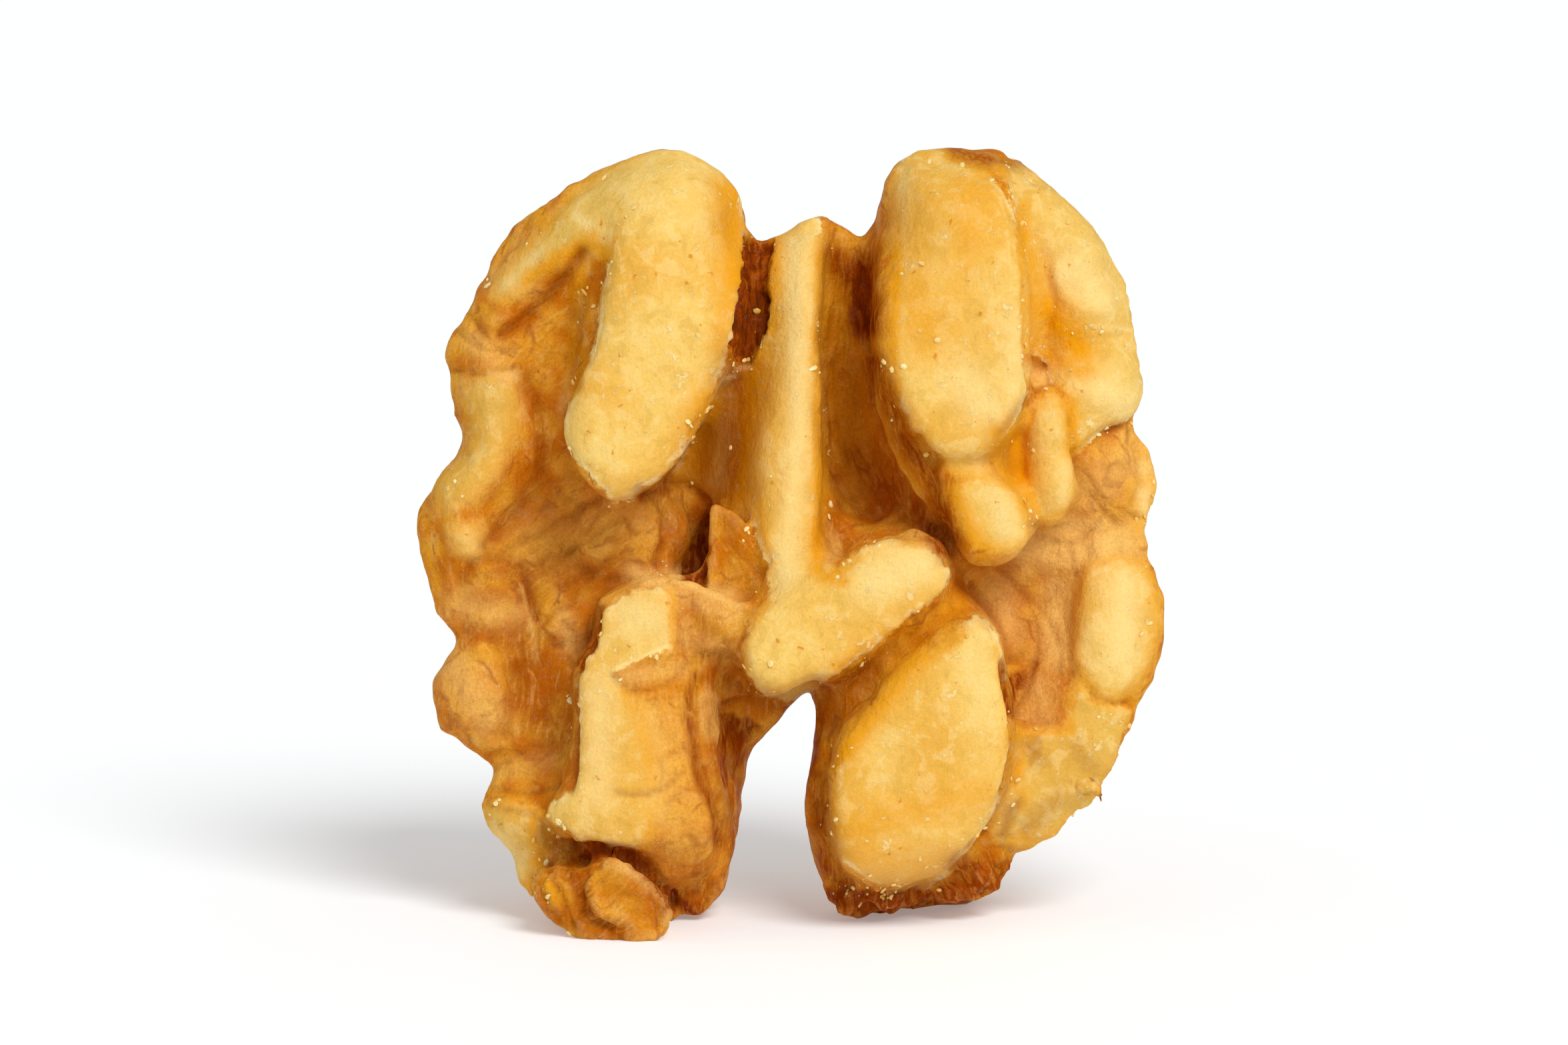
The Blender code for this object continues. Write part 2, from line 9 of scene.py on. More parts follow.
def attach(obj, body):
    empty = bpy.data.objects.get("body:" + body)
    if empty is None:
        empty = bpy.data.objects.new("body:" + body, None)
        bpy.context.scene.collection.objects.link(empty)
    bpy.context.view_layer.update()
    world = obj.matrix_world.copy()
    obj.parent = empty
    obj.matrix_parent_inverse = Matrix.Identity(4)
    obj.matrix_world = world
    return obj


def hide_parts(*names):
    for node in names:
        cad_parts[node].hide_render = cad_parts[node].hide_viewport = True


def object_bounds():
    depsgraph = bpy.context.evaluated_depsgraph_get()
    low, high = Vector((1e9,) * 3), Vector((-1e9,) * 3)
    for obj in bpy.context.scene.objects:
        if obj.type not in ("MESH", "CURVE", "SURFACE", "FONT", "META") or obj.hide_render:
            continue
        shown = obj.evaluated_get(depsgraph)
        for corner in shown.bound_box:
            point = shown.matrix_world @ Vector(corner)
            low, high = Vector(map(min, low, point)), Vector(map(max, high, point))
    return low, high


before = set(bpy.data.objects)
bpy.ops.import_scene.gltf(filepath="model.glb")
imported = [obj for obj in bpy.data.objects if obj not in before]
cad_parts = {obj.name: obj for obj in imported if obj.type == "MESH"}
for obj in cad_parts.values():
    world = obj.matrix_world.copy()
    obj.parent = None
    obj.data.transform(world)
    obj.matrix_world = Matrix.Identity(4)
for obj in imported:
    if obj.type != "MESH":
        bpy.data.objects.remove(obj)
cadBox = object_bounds()
print("frame loaded")

# The kernel is drawn in its own face frame, in drawn millimetres: x across, y from the broken face to
# the back, z up the kernel. These values bring that frame to where the kernel stands.
face = {
    "leanDeg": 8.0,
    "depthShare": 0.9,
    "metres": 0.001 * 30.0 / 34.1,
    "middle": (0.018, 8.624, 0.242),
}


def drawnToWorld():
    flatten = Matrix.Diagonal((1.0, face["depthShare"], 1.0, 1.0))
    lean = Matrix.Rotation(math.radians(-face["leanDeg"]), 4, "X") @ flatten
    return Matrix.Scale(face["metres"], 4) @ Matrix.Translation(-Vector(face["middle"])) @ lean


# What a user would change on the kernel's form
kernel = {
    "grain": 0.185,           # drawn millimetres between points of the fine mesh
    "softening": 3,
    "unevenness": 0.14,       # slow waves of the surface
    "unevennessSize": 2.6,
    "crinkle": 0.09,          # finer crinkles
    "crinkleSize": 0.8,
    "facet": 0.22,            # broken facets of the rough flesh
    "facetSize": 1.5,
    "threads": 0.08,          # ridges along the fibres of the skin
    "crumble": 0.12,          # along the torn edges
    "crumple": 0.35,          # of the dried skin at the feet
    "triangles": 192000,
}

# Broken flesh: how slowly the skin gives way to it, how olive and crumbly it is, how far it stands out of
# the skin round it, and its outline (x, z) on the face
flesh = {
    "left lobe": (0.06, 0.1, 0, [
        (-7.3, 31), (-7.75, 29.3), (-8, 28.3), (-8.2, 26.3), (-8.6, 25), (-9.1, 23.9), (-9.6, 22.7),
        (-9.55, 21.6), (-9.1, 20.7), (-8.3, 19.9), (-7.6, 19), (-6.8, 19.2), (-5.7, 19.9), (-4.7, 21.1),
        (-4.3, 22.2), (-3.6, 23.1), (-2.8, 24.9), (-2.3, 26.2), (-1.8, 28), (-1.6, 29.5), (-1.9, 31.2),
        (-2.2, 33), (-4.6, 34.6), (-7, 34.2), (-8.4, 33.4), (-8, 32)]),
    "arch": (0.35, 0.55, 0, [
        (-7.4, 34), (-8.2, 33.3), (-9.5, 32.2), (-10, 31.5), (-10.8, 30.7), (-12, 29.4), (-12.6, 28.7),
        (-12.8, 27.8), (-12.2, 27.6), (-11.3, 28.2), (-10.4, 29.1), (-9.5, 29.7), (-8.8, 30),
        (-8.3, 29.6), (-7.6, 29.4), (-6.6, 31)]),
    "left strip": (0.7, 0.9, 0.15, [
        (-13.95, 24.2), (-12.9, 24.5), (-11.7, 24.4), (-11.5, 23.5), (-11.6, 22.2), (-12.2, 21.1),
        (-12.6, 20.2), (-13.5, 19.2), (-14.7, 18.7), (-15.3, 19.4), (-14.8, 20.4), (-13.9, 21.4),
        (-13.7, 22.7), (-14.2, 23.4)]),
    "left strip lump": (0.6, 0.5, 0.1, [
        (-14.6, 17.9), (-13.4, 18.1), (-12.9, 17.2), (-13.5, 16.5), (-14.3, 16.9)]),
    "ridge": (0.06, 0.05, 0, [
        (-0.7, 31), (-0.95, 29.3), (-0.95, 27.5), (-1.1, 26.4), (-1.7, 24.9), (-2.3, 24.9), (-3.1, 24.3),
        (-3.5, 23.2), (-4.3, 22.2), (-4.7, 21.1), (-5, 20.2), (-4.2, 19.6), (-3.2, 19.4), (-2.5, 18.9),
        (-1.7, 18.2), (-1.5, 17.6), (-1, 16.2), (-0.9, 14.6), (-0.4, 14), (0.6, 14.4), (2.3, 15.8),
        (1.9, 16.3), (1.2, 16.4), (1, 17.2), (1.35, 18.4), (1.5, 20), (1.35, 22.5), (1.25, 26),
        (1.45, 29), (1.3, 31.2), (0.4, 31.6)]),
    "bar": (0.06, 0.12, 0, [
        (-2.1, 12.6), (-2, 13.3), (-1.5, 14.2), (-0.8, 15), (0.6, 15.4), (2, 16), (3, 17), (4.2, 17.5),
        (5, 17.4), (5.8, 17.1), (6.4, 16.6), (6.9, 15.9), (6.2, 15), (5.2, 14.3), (4.3, 13.5),
        (3.5, 12.7), (2.6, 12.1), (1.6, 11.5), (1, 10.9), (0.3, 10.5), (-0.5, 10.5), (-1.2, 10.9),
        (-1.9, 12)]),
    "right lobe": (0.06, 0.1, 0, [
        (4.3, 31.5), (4.15, 32.5), (4.5, 33.4), (5.2, 34.2), (6.5, 34.4), (7, 33.7), (8.4, 33.3),
        (8.9, 32.2), (9.5, 31), (9.95, 28.8), (10.05, 25), (10.1, 23.6), (9.5, 22), (8.8, 21.3),
        (7.9, 20.4), (6.6, 20.6), (6, 21), (5.2, 22), (4.7, 23), (4.2, 25), (4.15, 26.5), (4.2, 27.5),
        (4.4, 29.5)]),
    "beside the right lobe": (0.3, 0.5, 0, [
        (8.9, 33.6), (9.4, 32), (9.8, 30), (9.9, 26), (10.3, 25.4), (10.9, 25.6), (10.7, 28), (10.4, 31),
        (9.6, 33.6)]),
    "neck": (0.25, 0.2, 0, [(6.2, 21.3), (8.9, 21.8), (8.8, 20.8), (8.3, 19.9), (7.3, 20), (6.5, 20.5)]),
    "knob": (0.28, 0.3, 0.1, [
        (7, 19.7), (7.7, 20.3), (8.8, 20.2), (9.6, 19.5), (10.05, 18.5), (10.2, 17.6), (9.7, 17),
        (8.6, 16.85), (7.8, 17.3), (7.3, 18.1), (6.95, 19)]),
    "upper right rim": (0.06, 0.55, 0.25, [
        (8.6, 33.4), (9.6, 33.7), (10.6, 33.2), (11.7, 32.1), (12.6, 31.2), (13.4, 30), (14.3, 28.3),
        (14.7, 27), (15.1, 25), (15.1, 23.8), (14.4, 22.5), (13.4, 22.1), (12.8, 21.5), (12, 20.9),
        (11.8, 22.5), (11.2, 23.9), (11, 24.9), (10.3, 25.5), (10.2, 27), (9.9, 29), (9.6, 30.8),
        (9.1, 32.2)]),
    "tongue": (0.3, 0.45, 0.2, [
        (10.15, 22.5), (10.5, 23.4), (11.2, 23.85), (11.65, 23), (11.8, 22), (11.9, 21), (12.1, 20.2),
        (12.1, 19.4), (11.7, 18.7), (11, 18.1), (10.4, 18.4), (10.1, 19.5), (10, 21)]),
    "hollow by the tongue": (0.4, 0.1, 0, [
        (9.3, 22.2), (10.2, 23), (10.6, 21.5), (10.4, 19.2), (9.7, 18.9), (9.3, 20), (8.7, 20.9)]),
    "right rim edge": (0.4, 0.4, 0.1, [
        (14.4, 19.9), (15.7, 20.1), (15.6, 18.6), (14.9, 17.6), (14.6, 18.6)]),
    "right oval": (0.35, 0.25, 0.25, [
        (12.45, 15.5), (12.7, 16.4), (14.1, 16.75), (15.3, 16.4), (15.7, 15.1), (15.85, 13.9),
        (15.6, 12.6), (15, 11.2), (13.9, 10.5), (13.1, 10.7), (12.4, 11.6), (12.1, 12.7), (12.2, 13.6),
        (12.35, 14.7)]),
    "lower right lobe": (0.22, 0.85, 0.25, [
        (9.5, 9.1), (10.8, 9.3), (11.8, 9.3), (11.9, 10.6), (12.4, 11.9), (12.9, 10.7), (13.9, 10.3),
        (14.7, 10.2), (14.1, 8.6), (13.7, 7.6), (13.3, 6.7), (13, 6), (12.1, 5.8), (11.3, 4.7),
        (10.5, 4.2), (9.5, 4.1), (8.8, 4.4), (8.5, 5.1), (9, 6.4), (9.5, 7.7)]),
    "right leg": (0.06, 0.1, 0, [
        (7.9, 14.2), (8.4, 14), (8.9, 13.4), (9.35, 12.1), (9.4, 11.1), (9.45, 10.1), (9.5, 8.9),
        (9.3, 7.7), (9, 6.4), (8.4, 5.1), (7.65, 4.1), (6.7, 3.1), (5.8, 2.4), (5, 2.4), (3.9, 2.65),
        (2.95, 3.2), (2.2, 3.7), (1.8, 4.3), (1.7, 5.3), (1.8, 6.5), (2.1, 7.7), (2.3, 9), (3.05, 9.9),
        (3.7, 10.6), (4.1, 11.5), (4.6, 12.2), (5.5, 12.7), (6.8, 13.1), (7.3, 13.4), (7.2, 13.8)]),
    "left leg": (0.06, 0.3, 0, [
        (-8.15, 14.35), (-7.1, 15), (-6.4, 15.3), (-5, 15.3), (-4.95, 12.9), (-6, 12.5), (-7.1, 12),
        (-7.6, 11.75), (-7.2, 11.2), (-6.6, 10.6), (-5.9, 10), (-5.6, 9.2), (-5.6, 8.2), (-5.4, 7.4),
        (-5.2, 6.6), (-5.3, 5.8), (-5.7, 5.1), (-5.9, 4.7), (-6.1, 4.3), (-7, 4.1), (-8, 4.2), (-9, 4.7),
        (-9.8, 5.2), (-10.3, 5.7), (-10.3, 6.2), (-9.8, 6.4), (-9.3, 6.9), (-9.2, 8.3), (-9.1, 9.9),
        (-9.2, 11.6), (-8.6, 12.4), (-8.2, 13.2)]),
    "left low patch": (0.25, 0.6, 0.15, [
        (-13.3, 6.2), (-12.3, 6.2), (-11.1, 6), (-10.3, 5.5), (-10.2, 4.6), (-10.6, 3.6), (-11.05, 2.7),
        (-11.6, 2.3), (-12.2, 3.2), (-12.9, 4.5)]),
    "under the left foot": (0.3, 0.5, 0, [(-10.4, 2.8), (-9.8, 3), (-9.6, 2.2), (-10.2, 1.6)]),
}

# Forms that the plain solid leaves out. plates: front, slope along x and along z, back, rounding and
# outline (x, z). balls: middle and half sizes. rolls: stations (x, y, z, radius)
forms = {
    "plates": {
        "sheet beside the arch": (4.7, 0.12, -0.12, 8, 0.3, [
            (-8.85, 29.9), (-8.8, 28.5), (-8.95, 26.8), (-9.25, 25), (-9.75, 23.2), (-10.3, 21.6),
            (-11.2, 20.6), (-12.2, 21.8), (-12.6, 24.5), (-12.6, 26.5), (-11.6, 27.9), (-10.2, 29.3)]),
        "knob": (0.7, 0, 0, 7.5, 0.7, [
            (6.1, 20.6), (6.3, 19.3), (6.6, 18), (6.9, 17), (7.6, 16.45), (8.6, 16.3), (9.6, 16.7),
            (10.15, 17.4), (10.1, 18.5), (9.8, 19.3), (9.2, 19.9), (8.5, 20.2), (8.2, 21.2), (6.4, 21.6)]),
        "right wall of the groove": (5.4, -1.5, 0, 9, 0.3, [
            (3.4, 26.5), (4.4, 25.5), (5.4, 22.8), (6.8, 20.8), (6.7, 17.9), (4.6, 18.2), (3.2, 20.4),
            (3, 23.5)]),
        "skin to the bar": (1.8, 0, 0, 4.5, 0.35, [
            (-5.3, 15.9), (-4.6, 15.8), (-3.5, 15.4), (-2.5, 15), (-1.3, 14.75), (-0.8, 14.3),
            (-1.8, 12.9), (-3, 12.7), (-5.3, 12.6)]),
        "wall behind the tongue": (4.3, 0.25, 0, 8, 0.4, [
            (9, 23.4), (11.9, 23.8), (12.1, 21.1), (12.1, 19.2), (11.5, 18.2), (10.6, 18), (9.4, 19.6)]),
        "torn flap": (2.9, 0, 0, 3.5, 0.2, [
            (-3.3, 19.1), (-2.9, 18.9), (-2.2, 18.6), (-1.9, 18), (-1.5, 17.3), (-1.1, 16.6),
            (-0.95, 16), (-1, 15.2), (-2.7, 15.1), (-3.6, 15.6), (-3.4, 18.2)]),
        "side of the left lobe": (2.9, 0, 0, 8, 0.2, [
            (-8.75, 29.7), (-7.2, 29.8), (-7.4, 26), (-8.4, 22.5), (-9.3, 22.4), (-9.55, 23.3),
            (-9.15, 25), (-8.85, 26.8), (-8.7, 28.5)]),
        "foot flap": (0.72, 0.05, 0.1, 1.6, 0.3, [
            (-7.8, 3.7), (-8.7, 3.1), (-9, 2.2), (-8.2, 1.1), (-6.8, 0.4), (-5.3, 0.6), (-5.2, 1.4),
            (-5.4, 2.4), (-6.6, 3.3)]),
    },
    "balls": {
        "bulge in the left hollow": ((-6.8, 7, 17.6), (2.6, 2, 2.2)),
        "tongue's head": ((10.95, 4.1, 22.3), (0.85, 1, 1.5)),
        "tongue": ((11.1, 4.3, 20.1), (1.05, 1.3, 2.1)),
        "left lump": ((-13.2, 6.7, 11), (2.2, 2, 2.6)),
        "left rim lump": ((-13.7, 5.9, 17.2), (1.3, 1.3, 1.2)),
    },
    "rolls": {
        "hanging flake": [(12.7, 5.3, 6.8, 0.25), (13.25, 5.2, 6.65, 0.2), (13.35, 5.2, 6.1, 0.15)],
        "fringe one": [(2.3, 5.6, 1.65, 0.45), (3, 5.2, 2.3, 0.35), (4.3, 5.3, 1.9, 0.4)],
        "fringe two": [(5.6, 5.8, 2.4, 0.35), (6.9, 6, 1.95, 0.45), (8.2, 5.6, 2.9, 0.45)],
    },
}

# Where steps between the forms are eased: outline (x, z), nearest depth and rounds
easedSteps = [
    ([
        (-4.8, 20.4), (-3.4, 22.8), (-2.4, 25.2), (-1.2, 27.2), (-1.1, 30.5), (0.2, 30.8), (0.3, 26),
        (0, 22), (-0.5, 18.6), (-1.2, 17.8), (-2.4, 18.8), (-4.2, 19.6)], 1.4, 120),
    ([(-1.2, 16.8), (1.6, 17.4), (2.4, 16.4), (1.6, 14.8), (0.2, 14.1), (-1, 13.7), (-1.5, 14.8)], -2, 50),
    ([(9.2, 19.6), (8.9, 21.2), (9.6, 22.8), (10.6, 23.4), (10.6, 20), (10.2, 18.6)], 2, 12),
    ([
        (2.2, 26), (3.9, 26.5), (4.3, 24), (5.2, 22), (6.2, 21), (6.9, 19.5), (6.6, 18.2), (5, 18),
        (3.2, 18.8), (2.2, 20.5)], 1.4, 90),
    ([
        (-9.3, 29.4), (-8.3, 29.4), (-8.3, 27), (-8.9, 24.6), (-9.9, 22.4), (-10.2, 23.5),
        (-9.5, 25.5)], 1.6, 40),
    ([(-12.6, 23.4), (-9.7, 23.2), (-9.7, 21), (-10.4, 19), (-12.4, 19.2)], 1.6, 70),
    ([(-14.4, 16.4), (-11.4, 16.6), (-11.2, 13.4), (-14.6, 13.4)], -2, 35),
    ([(-15.5, 13.2), (-10.6, 13.2), (-9.9, 8.4), (-14.6, 8.2)], -2, 90),
    ([(-5.4, 12.4), (-2.6, 12.4), (-2.2, 8.6), (-2.4, 5), (-3.4, 3.4), (-5.4, 3.4)], -2, 45),
    ([(9.2, 32.4), (9.4, 27), (9.6, 24.6), (10.9, 25.2), (11, 28), (10.2, 32.4)], 0.9, 12),
    ([(-7.6, 19.4), (-5.2, 19.8), (-3.9, 19.2), (-4.5, 17.2), (-5.2, 16), (-7.6, 16.2)], 1, 40),
    ([(11.5, 20.6), (12.6, 20.6), (12.3, 24.4), (11.3, 24.4)], 0, 25),
    ([(11.7, 16.8), (13.4, 16.8), (13.4, 10.6), (11.5, 11)], 0, 30),
    ([(3.6, 32), (5.7, 32.4), (5.7, 23.4), (4.8, 22.6), (3.6, 24.6)], -2, 25),
    ([(5.6, 17.8), (7.4, 16.8), (7.2, 15.4), (5.6, 14.4)], -2, 20),
    ([(2.4, 13.8), (7.4, 14.9), (8.4, 13.6), (6.4, 12.6), (4.2, 11.8), (2.2, 11.6)], 0, 20),
]

# Small shifts that bring the outline onto the real one, under the depth that they reach back to: middle
# (x, z), reach, shift (x, z)
nudges = {
    8.0: [
        (11.6, 32.6, 1.8, -0.35, -0.35), (13.5, 30.2, 1.2, -0.25, -0.15), (14.8, 26.4, 1.8, -0.3, 0),
        (15.5, 18.6, 1, -0.3, 0), (10.3, 4.2, 1.2, -0.55, 0.45), (12.2, 5.4, 0.8, 0, 0.5),
        (6.2, 1.5, 1.3, 0, 0.7), (-14.8, 12.7, 1, 0.4, 0), (-13.3, 7.7, 0.9, 0.9, 0),
        (-12.3, 3.8, 0.9, 0.4, 0.1), (-14.4, 21, 0.7, 0.3, 0), (-14, 27, 0.8, 0.25, 0),
        (-6.5, 34, 2.5, 0, 0.15), (6.1, 17, 1, 0.35, 0.35), (-2.1, 7.4, 1.1, -0.15, 0.7),
        (8.7, 33.8, 0.8, 0.1, 0.25), (10.6, 33, 0.8, -0.3, -0.2), (1, 4, 0.9, 0.15, 0.3),
        (1.6, 31, 1.4, 0, 0.3), (-2, 31.2, 0.8, -0.15, 0)],
    16.0: [(0.6, 10.3, 1.2, 0.25, 0.9)],
}

# Creases and folds of the skin: points (x, z), width, depth (a fold stands out where it is below 0), and
# how much painted shade darkens the line
lines = {
    "crease under the arch": ([(-8.9, 29.7), (-9.6, 28.6), (-11, 27.2), (-12.4, 26.2)], 0.3, 0.35, 0.6),
    "inside of the left rim": ([
        (-11.3, 24), (-10.7, 22.8), (-10.55, 21), (-11, 19.5), (-12, 18.2), (-13, 17.2)], 0.4, 0.3, 0.5),
    "crack of the left rim": ([
        (-14.8, 24.8), (-13.3, 24.5), (-12.2, 24.7), (-11.3, 24.4)], 0.15, 0.15, 0.2),
    "ring on the left rim": ([
        (-14.2, 15.6), (-13.6, 16.3), (-12.5, 16.6), (-11.5, 16.3), (-11.1, 15.2),
        (-11, 14)], 0.28, 0.25, 0.45),
    "left hollow one": ([(-12.2, 16.9), (-10.4, 17.9), (-8, 19.4)], 0.18, 0.12, 0.3),
    "left hollow two": ([(-11, 16.4), (-9, 17.2), (-7.2, 18.4)], 0.18, 0.1, 0.3),
    "left hollow three": ([(-9.9, 15.3), (-8.4, 16.2), (-6.9, 16.9)], 0.2, 0.12, 0.3),
    "bulge fold": ([
        (-6.3, 19.5), (-5.6, 19.1), (-5.35, 18.2), (-5.45, 17.2), (-5.8, 16.4)], 0.22, 0.3, 0.5),
    "bulge top": ([(-5.2, 19.9), (-4.2, 19.6), (-3.5, 19)], 0.18, 0.2, 0.5),
    "slit by the left leg": ([(-8.35, 14.6), (-8.7, 13.4), (-9.1, 12.1)], 0.24, 0.6, 0.95),
    "edge of the left leg": ([(-9.25, 12), (-9.3, 9.8), (-9.25, 8.2), (-9.4, 6.8)], 0.22, 0.3, 0.6),
    "curl": ([(-9.4, 14.6), (-10.1, 14.3), (-10.6, 13.7), (-10.4, 13), (-9.8, 12.8)], 0.16, 0.12, 0.3),
    "curl two": ([(-9.7, 13.9), (-9.3, 13.3), (-9.2, 12.6)], 0.16, 0.1, 0.4),
    "flake edge": ([(-11.25, 15.6), (-11, 14.2), (-10.75, 13), (-10.6, 11.9)], 0.1, 0.2, 0.5),
    "under the left lump": ([
        (-13.9, 13.4), (-12.8, 13.2), (-12, 12.2), (-11.7, 10.6), (-12.3, 9)], 0.35, 0.25, 0.35),
    "left low fold": ([(-12.9, 8.2), (-11.9, 8.3), (-10.9, 8), (-9.9, 8.4)], 0.2, 0.15, 0.35),
    "left low edge": ([(-13, 6.1), (-11.9, 5.8), (-10.9, 5.6), (-10.4, 5)], 0.15, 0.15, 0.3),
    "above the foot": ([
        (-9.4, 4.4), (-8.2, 4.1), (-7.2, 4), (-6.3, 3.4), (-5.4, 2.5), (-5, 1.7)], 0.28, 0.7, 1),
    "foot cup": ([(-8.9, 3.2), (-9, 2.4), (-8.7, 1.7), (-8.1, 1.1), (-7.2, 0.8)], 0.2, 0.3, 0.7),
    "inside the foot cup": ([(-7.9, 2.6), (-7, 2), (-6.1, 1.6)], 0.6, 0.25, 0.2),
    "knot above the foot": ([
        (-9.7, 4.3), (-9.2, 4.5), (-8.7, 4.3), (-9, 3.9), (-9.5, 3.9)], 0.14, -0.2, 0.3),
    "column one": ([
        (-4, 11.6), (-4.3, 10.2), (-4.1, 8.6), (-3.8, 7.2), (-3.2, 5.8), (-3, 4.4)], 0.3, 0.15, 0.75),
    "column two": ([(-3.7, 7.8), (-3.2, 6.4), (-2.7, 5.2)], 0.16, 0.12, 0.6),
    "column three": ([(-7.4, 6.7), (-6.5, 6.6), (-5.5, 6.8), (-4.6, 7.5)], 0.14, 0.06, 0.35),
    "column four": ([(-5.2, 6.2), (-4.6, 6.7), (-4, 6.8)], 0.12, 0.05, 0.3),
    "column five": ([(-5, 3.3), (-4.2, 3.6), (-3.4, 4.6)], 0.16, 0.06, 0.3),
    "above the column one": ([(-4.2, 14.9), (-4, 14), (-3.4, 13.2), (-2.9, 12.9)], 0.18, 0.12, 0.4),
    "above the column two": ([(-2.9, 12.9), (-2.3, 13.1), (-1.9, 13.4)], 0.16, 0.1, 0.4),
    "under the bar one": ([(-3, 10.3), (-2.2, 10.6), (-1, 10.5), (0, 10.1)], 0.16, 0.15, 0.6),
    "under the bar two": ([(-2.9, 10), (-2.2, 9.6), (-1.3, 9.3)], 0.14, 0.12, 0.6),
    "lens on the left leg": ([
        (-7.5, 11.5), (-7, 11.1), (-6.2, 11), (-5.2, 11.3), (-4.3, 12.1)], 0.14, 0.14, 0.3),
    "right hollow one": ([(7.2, 16.2), (8.6, 14.4), (9.6, 12.4)], 0.14, 0.1, 0.35),
    "right hollow two": ([(8.6, 16.4), (9.8, 15.2), (10.6, 13.9), (10.5, 12.2)], 0.12, 0.08, 0.3),
    "right hollow three": ([(8.9, 16.2), (10.6, 14.6), (11.4, 13.2), (11.6, 11.4)], 0.12, 0.08, 0.25),
    "niche": ([(9.25, 12.2), (9.4, 11), (9.7, 9.9)], 0.25, 0.45, 0.8),
    "niche's right": ([(10.35, 12.2), (10.2, 11), (9.9, 10.1)], 0.16, 0.25, 0.5),
    "right rim valley": ([(10.4, 30.4), (10.9, 28.8), (11.3, 27.4), (11, 26.6)], 0.25, 0.2, 0),
    "right rim facet": ([(11.2, 29.1), (11.7, 28), (12.3, 27.4), (13.1, 27.2)], 0.22, -0.16, 0),
    "right rim lump": ([(12, 28.9), (13.3, 28)], 0.8, -0.2, 0),
    "right rim hollow": ([(10.9, 25.6), (12.8, 25.5)], 0.9, 0.25, 0),
    "right rim ledge": ([(12.2, 26.4), (13.2, 26.3), (14.3, 26.4)], 0.14, -0.08, 0),
    "right rim low lump": ([(12.4, 23.7), (13.8, 23.7)], 0.8, -0.3, 0),
    "right rim fold": ([(12.1, 21.2), (12.5, 19.9), (13.2, 18.9), (14, 18.2)], 0.22, 0.25, 0.4),
    "right rim skin": ([(12.6, 20.4), (13.4, 19.2), (14.2, 18.7), (14.9, 18.4)], 0.14, 0.18, 0.35),
    "right rim skin two": ([(14.7, 21.6), (15, 20.2), (14.5, 18.9)], 0.14, 0.12, 0.2),
    "below the tongue": ([(10.2, 18), (11.4, 18), (13, 17.8), (14.4, 18.1)], 0.12, 0.08, 0.2),
    "top of the right rim": ([(12.2, 21.2), (13.2, 22), (14.2, 22.4)], 0.22, 0.3, 0.2),
    "beside the right lobe": ([
        (8.8, 33.2), (9.5, 31.6), (9.95, 29.6), (10.15, 27), (10.15, 24.5)], 0.25, 0.12, 0),
    "under the right lobe": ([(5.4, 21.6), (6.2, 20.8), (7.4, 20.6), (8.6, 20.8)], 0.3, 0.25, 0.12),
    "right oval's edge": ([
        (12.7, 16.6), (12.4, 15.4), (12.6, 14.2), (12, 12.6), (12.2, 11.4)], 0.25, 0.06, 0),
    "crest of the right rim": ([(9.8, 32.5), (11.4, 31), (12.6, 29.6)], 0.9, -0.5, 0),
    "wedge on the left leg": ([(-7.5, 11.75), (-6.4, 12.3), (-5, 12.7)], 0.16, -0.18, 0),
    "rim of the foot flap": ([(-7.8, 3.6), (-6.6, 3.2), (-5.5, 2.4), (-5.3, 1.4)], 0.22, -0.3, 0),
    "left low fan one": ([(-12.9, 7.4), (-11.6, 8.2), (-10.2, 8.8)], 0.14, 0.12, 0.3),
    "left low fan two": ([(-12.7, 6.7), (-11.2, 6.6), (-9.9, 6.9)], 0.14, 0.12, 0.3),
    "left low fan three": ([(-12.2, 8.9), (-11, 9.6), (-10, 10.4)], 0.16, 0.1, 0.25),
    "left hollow four": ([(-11.9, 15.4), (-10, 16.4), (-8.3, 18.4)], 0.15, 0.1, 0.25),
    "left hollow five": ([(-8.8, 15.6), (-7.6, 16.4), (-6.4, 16.4)], 0.15, 0.12, 0.3),
    "left hollow six": ([(-10.6, 20.4), (-9.8, 19.4), (-9, 18.9)], 0.2, 0.12, 0.3),
    "rim fan one": ([(-14.4, 26.4), (-13.2, 25.6), (-11.8, 25.5)], 0.14, 0.12, 0.25),
    "rim fan two": ([(-14, 27.4), (-13.2, 26.3), (-12.2, 25.4)], 0.14, 0.12, 0.25),
    "foot fold one": ([(-10.4, 3.6), (-9.8, 2.4), (-9.3, 1)], 0.2, 0.25, 0.6),
    "foot fold two": ([(-9.6, 3.6), (-9.2, 2.6), (-8.9, 1.4), (-7.6, 0.7)], 0.18, 0.25, 0.7),
    "foot fold three": ([(-10.9, 2.9), (-10.4, 1.9), (-9.9, 0.9)], 0.16, 0.15, 0.35),
    "groove one": ([(2, 29.6), (2.9, 27.4), (3.3, 25.4)], 0.16, 0.15, 0.4),
    "groove two": ([(2.6, 29.8), (3.2, 28.4), (3.5, 26.4)], 0.14, 0.12, 0.4),
    "groove three": ([(1.9, 25), (2.3, 21.6), (3.4, 18.8)], 0.16, 0.1, 0.3),
    "leg wall one": ([(1.5, 11), (1.1, 8.4), (1.3, 5.4)], 0.14, 0.12, 0.4),
    "peach facet two": ([(10.6, 17.6), (11.9, 17.2), (12.9, 17.9)], 0.14, 0.12, 0.3),
    "peach facet three": ([(11.9, 17.2), (12.2, 15.8)], 0.14, 0.1, 0.25),
    "edge of the right leg": ([(9.5, 9.8), (9.5, 8.2), (9.1, 6.7), (8.4, 5.1), (7, 3.5)], 0.16, 0.3, 0.4),
}
